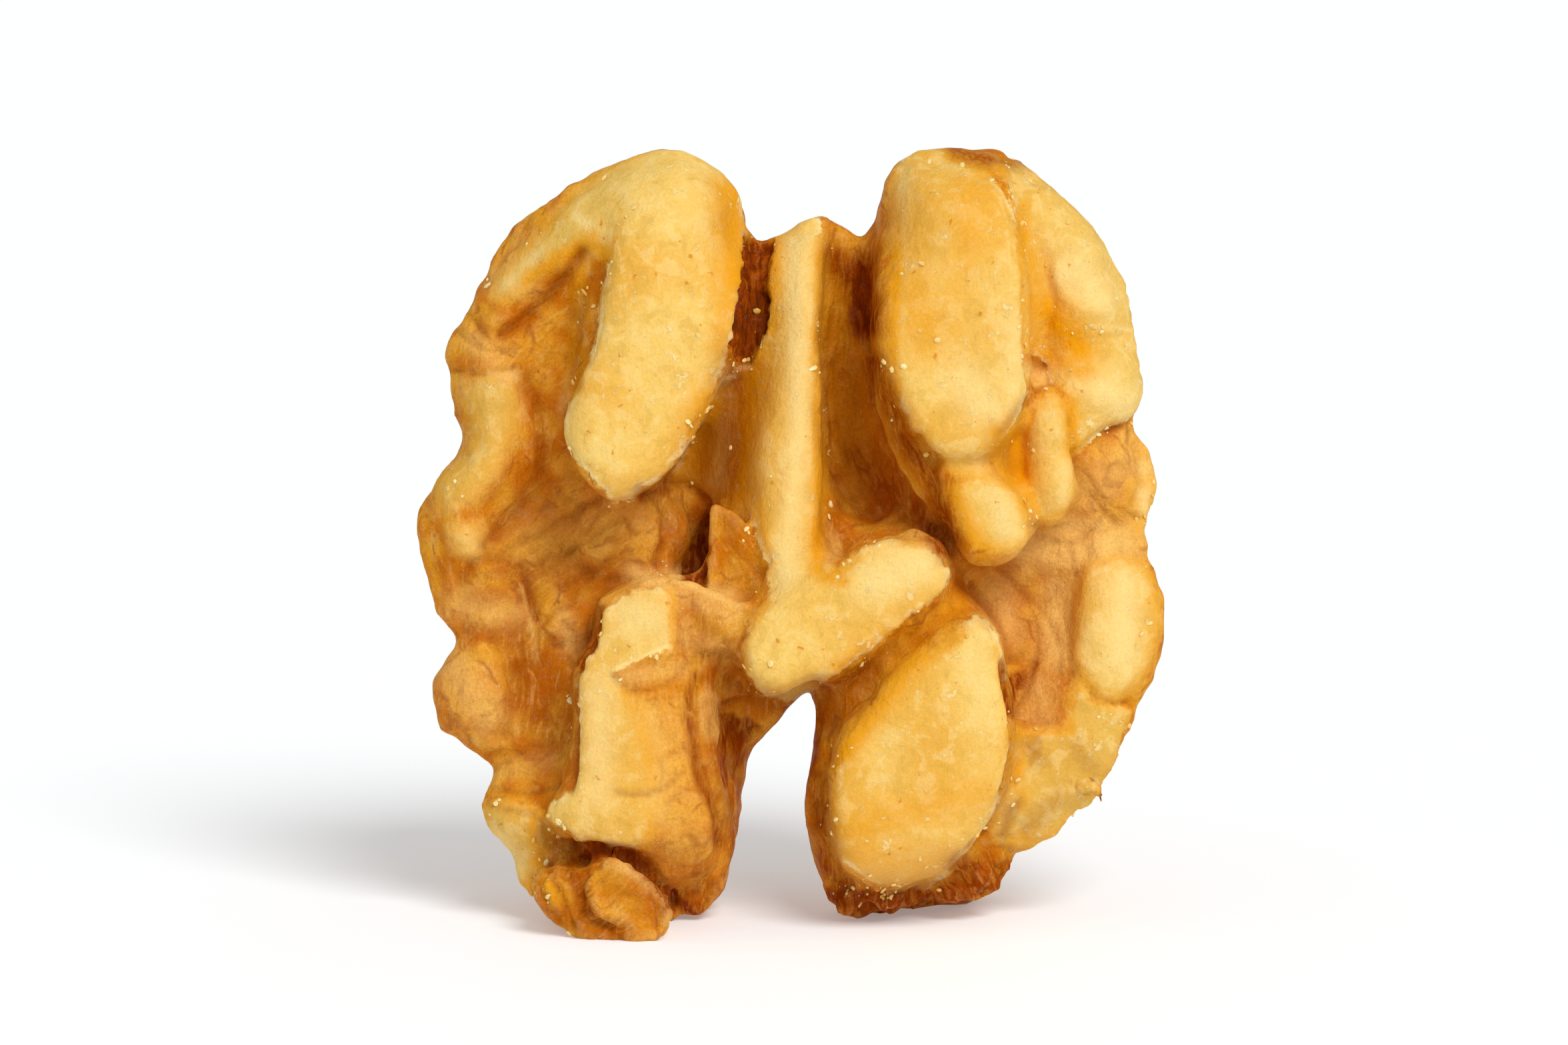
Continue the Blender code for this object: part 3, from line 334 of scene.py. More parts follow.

# Tones: strokes from (x, z) to (x, z), then radius and strength. The brown strokes are partly the skin's own
# brown and stains, partly painted shade in gaps, holes, creases and under overhangs
tones = {
    "brownAndShade": [
        (-1.3, 30.1, -1.5, 27.6, 0.5, 1), (-1.5, 27.6, -2, 25.5, 0.45, 1),
        (1.9, 29.6, 2.6, 28.3, 0.6, 0.7), (3.1, 29.5, 3.4, 26.5, 0.6, 0.9),
        (2.5, 28, 2.6, 20.5, 0.9, 0.3), (2.8, 21, 5.2, 18.6, 1, 0.6), (6.1, 20.2, 6.8, 17.6, 0.55, 0.85),
        (9.6, 8.8, 10.6, 8, 0.4, 0.3), (10.2, 5.4, 11.4, 6.4, 0.5, 0.3),
        (12.2, 8.6, 12.8, 7.6, 0.4, 0.25), (9, 5, 9.5, 6.2, 0.35, 0.5), (9, 4.4, 10.4, 4, 0.35, 0.4),
        (5.4, 18.8, 6.6, 16.9, 0.5, 0.8), (-2.2, 24.8, -2.6, 19.6, 0.95, 0.75),
        (-3.6, 13.6, -3.4, 11.4, 0.7, 0.5), (-2.7, 13, -2.2, 12, 0.5, 0.5),
        (-3.4, 22, -3.8, 20.4, 0.8, 0.6), (2.9, 29, 3.2, 26.6, 0.7, 1.3),
        (-6.4, 19.3, -5.2, 19.6, 0.3, 0.6), (-5, 19, -4.8, 16.6, 0.5, 0.35),
        (-10.3, 5, -9.2, 4, 0.6, 0.35), (-8.8, 4.1, -7, 3.9, 0.35, 0.9), (-7, 3.9, -5.2, 2.2, 0.35, 0.9),
        (-5.2, 1.8, -3.9, 1.6, 0.5, 0.9), (-2.6, 9, -2.3, 6.5, 0.35, 0.6),
        (-2.4, 6.5, -2.5, 4, 0.35, 0.6), (1.3, 11.2, 0.9, 8, 0.55, 0.6), (0.9, 8, 1.6, 3.5, 0.55, 0.7),
        (1.6, 3.4, 2.6, 2.4, 0.5, 0.8), (1.9, 11.2, 3.3, 12, 0.55, 0.6), (3.3, 12, 5.5, 13.6, 0.35, 0.4),
        (6.8, 16.4, 9.6, 16.2, 0.3, 0.35), (7.1, 16, 8.5, 13.9, 0.4, 0.25),
        (2.2, 1.8, 7.6, 1.9, 0.6, 0.85), (3.6, 25, 4.7, 22, 0.6, 0.75), (4.7, 22, 6.2, 19.8, 0.6, 0.85),
        (8.9, 21.9, 10, 23.4, 0.25, 0.4), (-10.6, 25, -10, 22.4, 0.9, 0.2),
        (-2.6, 18.2, -1.9, 15.9, 0.8, 0.4), (-8.5, 28.6, -9.2, 24, 0.35, 0.45),
        (-11, 12.4, -10.2, 8.6, 1.1, 0.5), (-10.2, 4.9, -9.4, 3.2, 0.6, 0.5),
        (-8.8, 3.9, -7.8, 4.1, 0.3, 1.1), (-7.8, 4.1, -6.6, 3.8, 0.3, 1.1),
        (-6.6, 3.8, -5.2, 2.2, 0.3, 1.15), (-5.2, 2.2, -4.2, 1.4, 0.35, 1.2),
        (-10, 1.6, -7, 0.5, 0.6, 0.5), (-9.3, 3.6, -8.9, 1.6, 0.4, 0.7),
        (-4.8, 2.2, -3.4, 2.4, 0.5, 0.7), (-7.6, 2.8, -6.2, 1.8, 0.9, 0.3),
        (-3.2, 12.6, -3.6, 11.6, 0.6, 0.5), (-2.6, 11.4, -0.6, 10.6, 0.6, 0.6),
        (8.9, 21.6, 9.5, 20.6, 0.5, 0.3), (0.4, 9.9, 1, 10.6, 0.5, 0.7), (1.9, 1.9, 5, 1.9, 0.9, 0.95),
        (5, 1.9, 8.8, 2.7, 0.9, 0.9), (7.2, 3.4, 9.3, 3.3, 0.7, 0.8), (10.1, 8.6, 10.4, 8.2, 0.35, 0.5),
        (7, 34.1, 9.8, 33.3, 0.35, 0.6), (-11.6, 13, -10.9, 9.8, 0.9, 0.6),
        (-3.6, 10.4, -3, 6.4, 0.4, 0.5), (-3.9, 3.2, -3.6, 1.8, 0.6, 0.6),
        (-13.4, 15.9, -11.8, 16.2, 0.35, 0.4), (1.6, 17.3, 2.2, 19.5, 0.45, 0.4),
        (-10.6, 1.6, -8.6, 0.7, 0.35, 0.3), (-8.7, 3.2, -8.5, 1.6, 0.3, 0.6),
        (-8.3, 1.5, -6.8, 0.9, 0.25, 0.5)],
    "orange": [
        (-11, 17.2, -6.6, 18.4, 1.6, 0.2), (-2.6, 32.2, -2.3, 28.5, 0.9, 0.9),
        (-2.5, 28.5, -3.1, 25.6, 0.5, 0.6), (5.4, 31, 5.6, 26, 1.3, 0.5), (7.8, 32.4, 7, 28, 1.2, 0.45),
        (4.5, 30, 4.4, 25, 0.35, 0.7), (3.2, 3.8, 6.5, 3.5, 1.2, 0.6), (2.6, 5, 8.2, 6.6, 0.9, 0.5),
        (2.3, 8.4, 5.4, 12.6, 0.75, 0.8), (2.3, 12, 7, 14.6, 0.5, 0.8), (2.4, 27.5, 2.8, 21, 1.2, 0.8),
        (8.8, 22, 9.4, 20, 0.5, 0.8), (-4.9, 11, -4.3, 4.5, 1.3, 0.4), (-5.6, 8.6, -6.2, 5.4, 0.9, 0.3),
        (-8.9, 29, -9.2, 24, 0.5, 0.9), (9.6, 21.8, 9.9, 20.1, 0.8, 1), (10.9, 27.3, 12.4, 25.6, 0.9, 1),
        (10.8, 25.4, 12.6, 24.8, 0.5, 0.7), (-2.3, 18, -1.6, 15.6, 0.7, 0.3),
        (6.8, 19.4, 8.2, 16.9, 0.6, 0.8), (-8.4, 30.4, -7.9, 29.6, 0.35, 0.8),
        (12.4, 15.4, 12.3, 12.6, 0.4, 0.3), (1.35, 29.5, 1.3, 17.4, 0.4, 0.7),
        (-1.6, 25.2, -2.2, 19.4, 0.85, 1), (-3.4, 23, -4, 20.6, 1, 1), (-0.9, 30, -0.9, 26.6, 0.55, 0.9),
        (-1.4, 19, -1, 16.2, 0.35, 0.7), (1.2, 18, 1.2, 16.2, 0.4, 0.9),
        (1.4, 15.9, 2.2, 15.7, 0.35, 0.8), (-11.2, 28.6, -8.6, 30, 0.35, 0.8),
        (10.1, 22.6, 10, 19, 0.35, 0.7), (10.4, 29.2, 10.5, 26, 0.35, 0.4),
        (10.7, 29.6, 11.2, 27.4, 0.25, 0.4), (12, 21.4, 11.8, 23.4, 0.35, 0.6),
        (3.8, 25, 5.8, 20.4, 0.6, 0.5), (-10.9, 5.3, -10.8, 3.6, 0.25, 0.7),
        (-10.3, 2.9, -9.9, 2.2, 0.4, 0.7), (-6.4, 10.2, -5.9, 8, 0.5, 0.5),
        (10, 30.5, 10.4, 28.4, 0.4, 0.5), (9.4, 8.6, 9.8, 6.4, 0.5, 0.5),
        (9.4, 4.7, 11.2, 4.9, 0.5, 0.5), (-0.7, 30.4, -0.6, 28, 0.35, 0.8),
        (8.9, 12.8, 9.4, 10.2, 0.3, 0.5)],
    # pale: the skin's own pale flakes and crumbly edges, and painted highlight on crests and facets and
    # painted light on slopes turned from the key light
    "paleAndLit": [
        (-7, 11.6, -4.6, 11.9, 0.5, 0.6), (-6, 10, -5.6, 8.4, 0.6, 0.5), (3.4, 3.4, 6.6, 3.6, 0.8, 0.6),
        (11.6, 15.4, 11.4, 12.6, 0.9, 0.9), (9, 15.2, 9.4, 13.6, 0.9, 0.6),
        (11.4, 16.6, 13.8, 16.9, 0.9, 0.9), (11.8, 18, 13.2, 18, 0.6, 0.9),
        (10.7, 11.4, 10.9, 9.8, 0.7, 0.5), (-5.2, 9.6, -4.6, 4.6, 1.2, 0.45),
        (10.4, 16.9, 14.2, 17.2, 1.2, 0.9), (11.9, 15.2, 11.9, 12.8, 0.8, 0.8),
        (8.9, 15, 9.6, 13.4, 0.8, 0.5), (-11, 17.2, -6.6, 18.4, 1.6, 0.25),
        (-13, 23.6, -12.4, 21.4, 0.8, 0.1), (-13.4, 21, -14.4, 19.6, 0.7, 0.1),
        (12.2, 25, 13.8, 24.6, 0.6, 0.3), (-8.75, 29.9, -8.65, 28.8, 0.12, 0.8),
        (-8.95, 28, -8.75, 25.8, 0.12, 0.9), (-9.1, 25.2, -9.6, 23.4, 0.12, 0.8),
        (-12.5, 28.3, -11.3, 28.4, 0.45, 0.7), (-9, 31.2, -8.1, 30.2, 0.22, 0.8),
        (10, 29.6, 10.05, 24.6, 0.1, 0.6), (11.4, 28.6, 12.9, 27.4, 0.45, 0.8),
        (12.9, 26.5, 14.2, 26.4, 0.12, 0.8), (11.3, 22.8, 11.3, 22, 0.35, 0.4),
        (-5.2, 15, -5.15, 12.8, 0.12, 0.7), (-7.3, 3.5, -5.8, 2.6, 0.14, 0.8),
        (-5.4, 2.6, -5.3, 1.2, 0.16, 0.8), (-4.8, 15.2, -2.4, 14.2, 0.6, 0.5),
        (12.3, 15.8, 12.2, 12.8, 0.5, 0.5), (12.4, 12.2, 12.7, 13.4, 0.4, 0.5),
        (0.2, 30, 0.4, 22, 0.55, 0.8), (0.4, 22, -0.2, 16, 0.6, 0.7), (3.6, 15.6, 5.4, 16.4, 1, 0.8),
        (9, 19, 9.2, 18, 0.6, 0.8), (7.4, 24, 8.6, 22.8, 1, 0.7), (11.8, 29, 13, 27.6, 0.7, 0.8),
        (13, 24, 13.9, 23.4, 0.8, 0.8), (14.2, 15.4, 14, 12.4, 0.8, 0.8),
        (-8.1, 11, -8.2, 6.6, 0.8, 0.6), (-7, 14.4, -5.8, 14, 0.8, 0.7), (8, 13, 8.2, 10, 0.7, 0.4),
        (4.8, 33, 4.6, 30.6, 0.5, 0.5), (9.6, 27, 9.4, 24, 0.5, 0.6), (11.8, 20.6, 11.7, 19, 0.4, 0.7),
        (12.8, 19.4, 14.6, 20.8, 1.3, 0.5), (11.8, 17.6, 13.8, 17.6, 1, 0.7),
        (12.2, 16, 12.1, 13, 0.6, 0.5), (-13.9, 17.6, -13.4, 17, 0.5, 0.4),
        (-5, 15.9, -2.3, 14.7, 0.45, 0.8), (-6.7, 16, -5.4, 15.5, 0.6, 0.8),
        (-13.6, 26, -12.6, 25.2, 0.6, 0.5), (-12.6, 28.6, -11.2, 29.6, 0.7, 0.5),
        (10.2, 24.6, 10.9, 24.3, 0.45, 0.8), (8.2, 20.8, 8.9, 20.1, 0.3, 0.6),
        (-12.3, 4.6, -11.5, 3.4, 0.6, 0.6), (9.6, 15.8, 11.4, 16.6, 0.8, 0.4),
        (-12.8, 24.5, -11.8, 24.5, 0.25, 0.7), (-14.4, 11.8, -13, 9.9, 1.1, 0.6),
        (-14.2, 14.6, -11.8, 14.2, 0.8, 0.5), (-12.2, 7.5, -10.4, 8, 0.55, 0.3),
        (-11.5, 15.4, -11.15, 13.8, 0.1, 0.9), (-11.15, 13.8, -10.85, 12.2, 0.1, 0.9),
        (-9.7, 14.2, -9.5, 12.9, 0.45, 0.6), (15.3, 20.6, 15, 18.8, 0.45, 1),
        (-8.9, 27.8, -9, 26.2, 0.2, 0.5), (-9.4, 24.6, -9.8, 23, 0.2, 0.5),
        (-5, 13.4, -3, 12.8, 0.7, 0.4)],
}

# Torn bits of skin, stains, and painted shade in gaps, slits and niches, all with sharp edges: tone,
# strength, how far they stand out, outline (x, z)
scraps = {
    "dark gap": ("brownAndShade", 1.25, -0.5, [
        (-1.9, 30.4), (-0.75, 30.4), (-0.98, 29.3), (-0.98, 27.4), (-1.05, 26.6), (-1.4, 25.7),
        (-1.75, 25), (-2.5, 24.9), (-2.3, 26.5), (-2, 28.5)]),
    "darkest of the gap": ("brownAndShade", 1.35, -0.1, [
        (-1.8, 28.3), (-0.98, 28.2), (-1.05, 26.8), (-1.5, 25.8), (-2.1, 25.3), (-2.2, 26.5)]),
    "dark triangle": ("brownAndShade", 1, -0.4, [
        (-3.4, 19.1), (-3.55, 18), (-3.6, 16.6), (-3.6, 15.5), (-4.65, 15.8), (-4.2, 17.2)]),
    "peeling patch": ("paleAndLit", 0.6, 0.1, [
        (-3.9, 10.8), (-3.5, 11.3), (-2.95, 10.6), (-2.95, 9.6), (-3.15, 8.65), (-3.8, 8.9), (-4, 9.8)]),
    "dark beside the patch": ("brownAndShade", 0.85, -0.1, [
        (-2.95, 10.1), (-2.2, 9.9), (-1.2, 9.4), (-1.8, 8.7), (-2.3, 7.2), (-2.7, 6.6), (-3.1, 8.4)]),
    "niche": ("brownAndShade", 0.9, -0.25, [
        (9.4, 11.8), (10.3, 12.1), (10.1, 11), (9.7, 10), (9.5, 9.9), (9.35, 10.9)]),
    "flake under the leg one": ("paleAndLit", 0.7, 0.1, [(2.3, 2.4), (2.8, 2.5), (2.7, 2.1), (2.4, 2)]),
    "flake under the leg two": ("paleAndLit", 0.7, 0.1, [(4, 2.3), (4.7, 2.5), (4.8, 2.1), (4.2, 1.9)]),
    "flake under the leg three": ("paleAndLit", 0.5, 0.1, [(6.9, 2.4), (7.3, 2.4), (7.3, 2), (6.9, 2)]),
    "stain one": ("brownAndShade", 0.35, 0, [(9.8, 8.9), (10.7, 9.1), (10.6, 8.2), (10.1, 7.7), (9.8, 8.2)]),
    "slit": ("brownAndShade", 0.8, -0.2, [
        (-8.3, 14.7), (-8.1, 13.9), (-8.1, 13.3), (-8.4, 12.6), (-9.1, 12.1), (-9.05, 12.7),
        (-8.65, 13.9)]),
    "edge of the groove": ("paleAndLit", 0.5, 0.12, [
        (1.15, 25.6), (1.45, 25.4), (1.5, 22.6), (1.6, 21.4), (1.35, 21.6), (1.15, 23.4)]),
    "groove's foot": ("paleAndLit", 0.5, 0.1, [
        (1.05, 16.3), (1.1, 17.2), (1.6, 18.4), (2.1, 17.6), (2.2, 16.6), (1.7, 16.1)]),
    "flake by the tongue": ("paleAndLit", 0.8, 0.1, [(10.3, 24), (10.9, 23.9), (11, 24.7), (10.8, 24.6)]),
    "torn foot of the left lobe": ("paleAndLit", 0.6, 0.15, [
        (-2.9, 25), (-2.2, 24.9), (-2, 24.6), (-2.8, 24.1), (-3, 24.5)]),
}

# Where the skin gives way to the flesh without a torn edge: strokes, with the blur as strength
softEdges = [
    (4.2, 32.6, 4.1, 24, 0.8, 0.5), (4.6, 23, 6.4, 20.6, 0.5, 0.2), (1.7, 7.5, 1.9, 4.2, 0.6, 0.3),
    (2.2, 9, 6.6, 13.4, 0.9, 0.6), (1.35, 30, 1.3, 17, 0.6, 0.45), (-0.9, 30.5, -1.1, 26.6, 0.4, 0.3),
    (-6.2, 10.4, -5.6, 8.4, 1, 0.9), (-5.5, 7.6, -5.3, 5.6, 1, 0.9), (-5.6, 5.2, -6, 4.5, 0.6, 0.5),
    (11.95, 20.8, 11.7, 23.9, 0.5, 0.35), (2, 16.1, 5.6, 17.4, 0.5, 0.3),
    (-1.9, 12.2, -1.1, 14.8, 0.5, 0.3), (-4.6, 19.9, -1.9, 18.6, 0.6, 0.4),
    (-5, 15.4, -4.9, 13.2, 0.5, 0.35), (-9.4, 33.4, -6.5, 34.3, 0.9, 0.5),
    (7.2, 19.4, 7.6, 17.6, 0.5, 0.3), (9.9, 31.5, 10.2, 26, 0.5, 0.4), (6.6, 34.2, 8.8, 33.2, 0.6, 0.35),
    (9.4, 9.2, 11.9, 9.4, 0.5, 0.4), (11.9, 10.6, 12.4, 11.9, 0.5, 0.5)]

# Where the skin is crumpled: strokes
crumpled = [
    (-10.4, 4.8, -9, 3.8, 1, 1.4), (-10.4, 2.6, -8.8, 0.9, 1, 1.3), (-8, 2.8, -5.8, 1.4, 1.3, 0.7),
    (-8.4, 0.8, -5.4, 0.8, 0.6, 1.3), (-5.5, 2.5, -5.2, 0.9, 0.45, 1.6), (1.8, 2, 5, 1.8, 0.9, 1.2),
    (5, 1.8, 9.4, 3.2, 0.9, 1.2), (-4.8, 1.8, -3.2, 2.6, 0.7, 0.5), (-7, 15.9, -5, 16.1, 0.5, 0.8),
    (-3.4, 18.6, -1.2, 16.4, 0.5, 0.5)]

# Where crumbs of flesh lie: strokes
crumbled = [
    (-6.9, 15.4, -5.4, 16.2, 0.35, 1), (-2, 25, -2.9, 24.4, 0.3, 0.6),
    (-0.4, 29.8, -0.5, 26.4, 0.2, 0.4), (-8.7, 29.8, -8.8, 26, 0.2, 0.9), (-9, 25, -9.7, 23.2, 0.2, 0.9),
    (9.9, 31, 10.05, 24.6, 0.2, 0.6), (12.6, 26.4, 14.3, 26.4, 0.2, 0.9), (4, 24.6, 4.6, 23.4, 0.3, 0.7),
    (-4.6, 20.8, -3.6, 23, 0.15, 0.9), (-7.6, 19, -6.2, 19.6, 0.2, 0.8), (-9.8, 5.4, -7, 4.2, 0.2, 1),
    (-10.6, 2.2, -9.8, 0.6, 0.3, 0.5), (12, 31.6, 13, 30.4, 0.25, 0.8), (2.2, 2.4, 5, 2.2, 0.35, 0.8),
    (7, 2.6, 8.2, 3.4, 0.3, 0.4), (-5.4, 2.4, -5.2, 1, 0.15, 0.9), (1.3, 25, 1.5, 22.6, 0.15, 0.9),
    (1.1, 28.5, 1.3, 25.6, 0.15, 0.7), (5.6, 3.2, 8.6, 5.6, 0.2, 0.6), (1.7, 5, 2.2, 8.8, 0.3, 0.4),
    (13, 10.2, 14.4, 9.6, 0.3, 0.8), (-2, 12.6, -1.2, 11, 0.15, 0.9), (0.2, 10.6, -1.2, 10.9, 0.15, 0.9),
    (15.2, 18.2, 15.4, 19.8, 0.3, 0.6), (-14, 21, -14.5, 19.6, 0.5, 0.5),
    (-12.8, 24, -12.7, 21.6, 0.6, 0.3), (-9.2, 8.5, -9.2, 6.8, 0.15, 0.6),
    (-3.2, 19, -1.4, 17.2, 0.15, 0.8)]

# Where the fibres of the skin run to the right going up, and where to the left: middle (x, z) and reach
fibres = {
    "rising": [
        (-12, 7.6, 1.4), (-9.5, 17.5, 3.2), (-10.5, 26, 2.5), (-11.5, 29.5, 2.2), (-7.5, 2, 1.8),
        (-11, 7.5, 1.2)],
    "falling": [(4.2, 20, 2.2), (8.5, 14.5, 2), (13.5, 19.5, 2.2), (8, 3, 1.8), (-2, 17, 1)],
}

camera = {
    "lens": 250.0,
    "sensor": 36.0,
    "elevationDeg": 8.0,
    "target": (-0.00025, -0.000157, 0.01488),
    "distance": 0.41205,
}

light = {
    "keyFrom": (0.42, -0.80, 0.90),     # direction that the key light comes from
    "keySoftnessDeg": 28.0,
    "keyPower": 2.2,
    "sky": 0.46,
    "floorGlow": 0.22,
}


# A line of points made smooth
def smoothLine(points, steps=8):
    ends = [points[0], *points, points[-1]]
    result = []
    for a, b, c, d in zip(ends, ends[1:], ends[2:], ends[3:]):
        a, b, c, d = (np.array(p, dtype=float) for p in (a, b, c, d))
        for step in range(steps):
            t = step / steps
            result.append(0.5 * (2 * b + (c - a) * t + (2 * a - 5 * b + 4 * c - d) * t ** 2
                                 + (3 * b - a - 3 * c + d) * t ** 3))
    result.append(np.array(points[-1], dtype=float))
    return result


def smoothStep(low, high, values):
    share = np.clip((values - low) / (high - low), 0.0, 1.0)
    return share * share * (3.0 - 2.0 * share)


# Distance from points (x, z) to a line, and for a closed one also which points it holds
def distanceTo(points, line, closed=False):
    nearest = np.full(len(points), np.inf)
    inside = np.zeros(len(points), dtype=bool)
    ends = line[1:] + line[:1] if closed else line[1:]
    for start, end in zip(line, ends):
        start = np.array(start, dtype=float)
        run = np.array(end, dtype=float) - start
        share = np.clip((points - start) @ run / max(run @ run, 1e-9), 0.0, 1.0)
        gap = points - start - share[:, None] * run
        nearest = np.minimum(nearest, np.hypot(gap[:, 0], gap[:, 1]))
        if closed and run[1]:
            crossing = start[0] + run[0] * (points[:, 1] - start[1]) / run[1]
            inside ^= ((start[1] > points[:, 1]) != (end[1] > points[:, 1])) & (points[:, 0] < crossing)
    return nearest, inside


# Which points lie in the box round some corners, widened by a reach
def nearTo(points, corners, reach):
    corners = np.array(corners, dtype=float)
    return np.all((points > corners.min(0) - reach) & (points < corners.max(0) + reach), axis=1)


# Signed distance into an outline, reckoned only within the reach
def insideDistance(points, outline, reach=2.5):
    near = nearTo(points, outline, reach)
    result = np.full(len(points), -reach)
    distance, inside = distanceTo(points[near], outline, closed=True)
    result[near] = np.where(inside, distance, -np.minimum(distance, reach))
    return result


# How strongly strokes cover points (x, z), the strongest one counting
def strokeShare(points, strokes):
    share = np.zeros(len(points))
    for *ends, radius, strength in strokes:
        line = [ends[:2], ends[2:]]
        near = nearTo(points, line, 2.5 * radius)
        distance, _ = distanceTo(points[near], line)
        share[near] = np.maximum(share[near], strength * np.exp(-(distance / radius) ** 2))
    return share


def addObject(name, data):
    item = bpy.data.objects.new(name, data)
    bpy.context.scene.collection.objects.link(item)
    return item


# The mesh that an object's modifiers or curve come to
def finalMesh(item):
    bpy.context.view_layer.update()
    graph = bpy.context.evaluated_depsgraph_get()
    return bpy.data.meshes.new_from_object(item.evaluated_get(graph))


def settle(item):
    mesh = finalMesh(item)
    item.modifiers.clear()
    item.data = mesh


def weld(mesh, gap):
    shape = bmesh.new()
    shape.from_mesh(mesh)
    bmesh.ops.remove_doubles(shape, verts=shape.verts, dist=gap)
    bmesh.ops.recalc_face_normals(shape, faces=shape.faces)
    shape.to_mesh(mesh)
    shape.free()


def ball(middle, halfSizes):
    shape = bmesh.new()
    bmesh.ops.create_icosphere(shape, subdivisions=4, radius=1.0)
    stretch = Matrix.Diagonal((*halfSizes, 1.0))
    bmesh.ops.transform(shape, matrix=Matrix.Translation(middle) @ stretch, verts=shape.verts)
    mesh = bpy.data.meshes.new("ball")
    shape.to_mesh(mesh)
    shape.free()
    return mesh


# The closed mesh of a curve, with its caps welded on
def curveToMesh(curve):
    holder = addObject("curve", curve)
    mesh = finalMesh(holder)
    bpy.data.objects.remove(holder)
    bpy.data.curves.remove(curve)
    weld(mesh, 0.0001)
    return mesh


# A round roll through its stations, with a ball at either end
def roll(stations):
    curve = bpy.data.curves.new("roll", "CURVE")
    curve.dimensions = "3D"
    curve.bevel_depth = 1.0
    curve.bevel_resolution = 5
    curve.use_fill_caps = True
    line = curve.splines.new("BEZIER")
    line.bezier_points.add(len(stations) - 1)
    line.resolution_u = 8
    for point, (x, y, z, radius) in zip(line.bezier_points, stations):
        point.co = (x, y, z)
        point.radius = radius
        point.handle_left_type = "AUTO"
        point.handle_right_type = "AUTO"
    return [curveToMesh(curve), *(ball(end[:3], (end[3],) * 3) for end in (stations[0], stations[-1]))]


# A plate with rounded edges and a front that may slope
def plate(front, slopeX, slopeZ, back, rounding, outline):
    curve = bpy.data.curves.new("plate", "CURVE")
    curve.dimensions = "2D"
    curve.fill_mode = "BOTH"
    curve.extrude = (back - front) / 2 - rounding
    curve.bevel_depth = rounding
    curve.bevel_resolution = 3
    curve.offset = -rounding
    line = curve.splines.new("POLY")
    line.points.add(len(outline) - 1)
    for point, (x, z) in zip(line.points, outline):
        point.co = (x, z, 0.0, 1.0)
    line.use_cyclic_u = True
    mesh = curveToMesh(curve)
    middleX, middleZ = np.mean(outline, axis=0)
    for vertex in mesh.vertices:
        x, z, depth = vertex.co
        share = 0.5 + depth / (back - front)
        slope = slopeX * (x - middleX) + slopeZ * (z - middleZ)
        vertex.co = (x, (front + back) / 2 - depth + share * slope, z)
    return mesh


# Joins the forms to the copy of the solid, so that the fine mesh takes them in
def addForms(item):
    meshes = [plate(*values) for values in forms["plates"].values()]
    meshes += [ball(*values) for values in forms["balls"].values()]
    for stations in forms["rolls"].values():
        meshes += roll(stations)
    shape = bmesh.new()
    for mesh in (item.data, *meshes):
        shape.from_mesh(mesh)
    shape.to_mesh(item.data)
    shape.free()
    for mesh in meshes:
        bpy.data.meshes.remove(mesh)


# A copy of the solid in drawn millimetres
def copySolid():
    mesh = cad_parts["walnut_kernel"].data.copy()
    mesh.transform(drawnToWorld().inverted())
    weld(mesh, 0.0005)
    mesh.materials.clear()
    return addObject("walnut_kernel_skin", mesh)


def refine(item):
    remesh = item.modifiers.new("refine", "REMESH")
    remesh.mode = "VOXEL"
    remesh.voxel_size = kernel["grain"]
    smooth = item.modifiers.new("smooth", "SMOOTH")
    smooth.factor = 0.5
    smooth.iterations = kernel["softening"]
    settle(item)


def readMesh(mesh):
    places = np.empty(len(mesh.vertices) * 3)
    mesh.vertices.foreach_get("co", places)
    normals = np.empty(len(mesh.vertices) * 3, dtype=np.float32)
    mesh.vertex_normals.foreach_get("vector", normals)
    return places.reshape(-1, 3), normals.reshape(-1, 3).astype(float)


def writeMesh(mesh, places):
    mesh.vertices.foreach_set("co", places.ravel())
    mesh.update()


# Moves points towards the mean of their neighbours, over some rounds, as far as each one's share says
def soften(mesh, places, rounds, share):
    edges = np.empty(len(mesh.edges) * 2, dtype=np.int32)
    mesh.edges.foreach_get("vertices", edges)
    a, b = edges.reshape(-1, 2).T
    moving = np.broadcast_to(share, (len(places), 1))[:, 0] > 0.0
    used = moving[a] | moving[b]
    a, b = a[used], b[used]
    size = len(places)
    count = np.maximum(1, np.bincount(a, minlength=size) + np.bincount(b, minlength=size))
    soft = places.copy()
    for _ in range(rounds):
        total = np.stack([np.bincount(a, soft[b, axis], size) + np.bincount(b, soft[a, axis], size)
                          for axis in range(3)], axis=1)
        soft += share * (total / count[:, None] - soft)
    return soft


# How far each point stands out of the surface round it, as a share of a full height. Hollows come out
# below 0
def hollowness(mesh, places, normals, rounds, full):
    height = ((places - soften(mesh, places, rounds, 0.5)) * normals).sum(1)
    return np.clip(height / full, -1.0, 1.0)


# Brings the outline onto the real one, and smooths the spots where forms of the solid meet with a step
# that the kernel doesn't have
def easeSteps(item):
    mesh = item.data
    places, _ = readMesh(mesh)
    flat = places[:, [0, 2]]
    fade, keptDepth = 2.5, 9.0
    for depth, shifts in nudges.items():
        reached = smoothStep(depth, depth - fade, places[:, 1])
        for x, z, reach, shiftX, shiftZ in shifts:
            share = np.exp(-((flat - (x, z)) ** 2).sum(1) / reach ** 2) * reached
            places[:, 0] += shiftX * share
            places[:, 2] += shiftZ * share
    flat = places[:, [0, 2]]
    for outline, nearest, rounds in easedSteps:
        share = smoothStep(-0.3, 0.5, insideDistance(flat, outline))
        share *= smoothStep(nearest - 0.5, nearest + 0.5, places[:, 1])
        share *= smoothStep(keptDepth, keptDepth - 1.0, places[:, 1])
        places = soften(mesh, places, rounds, 0.5 * share[:, None])
    writeMesh(mesh, places)


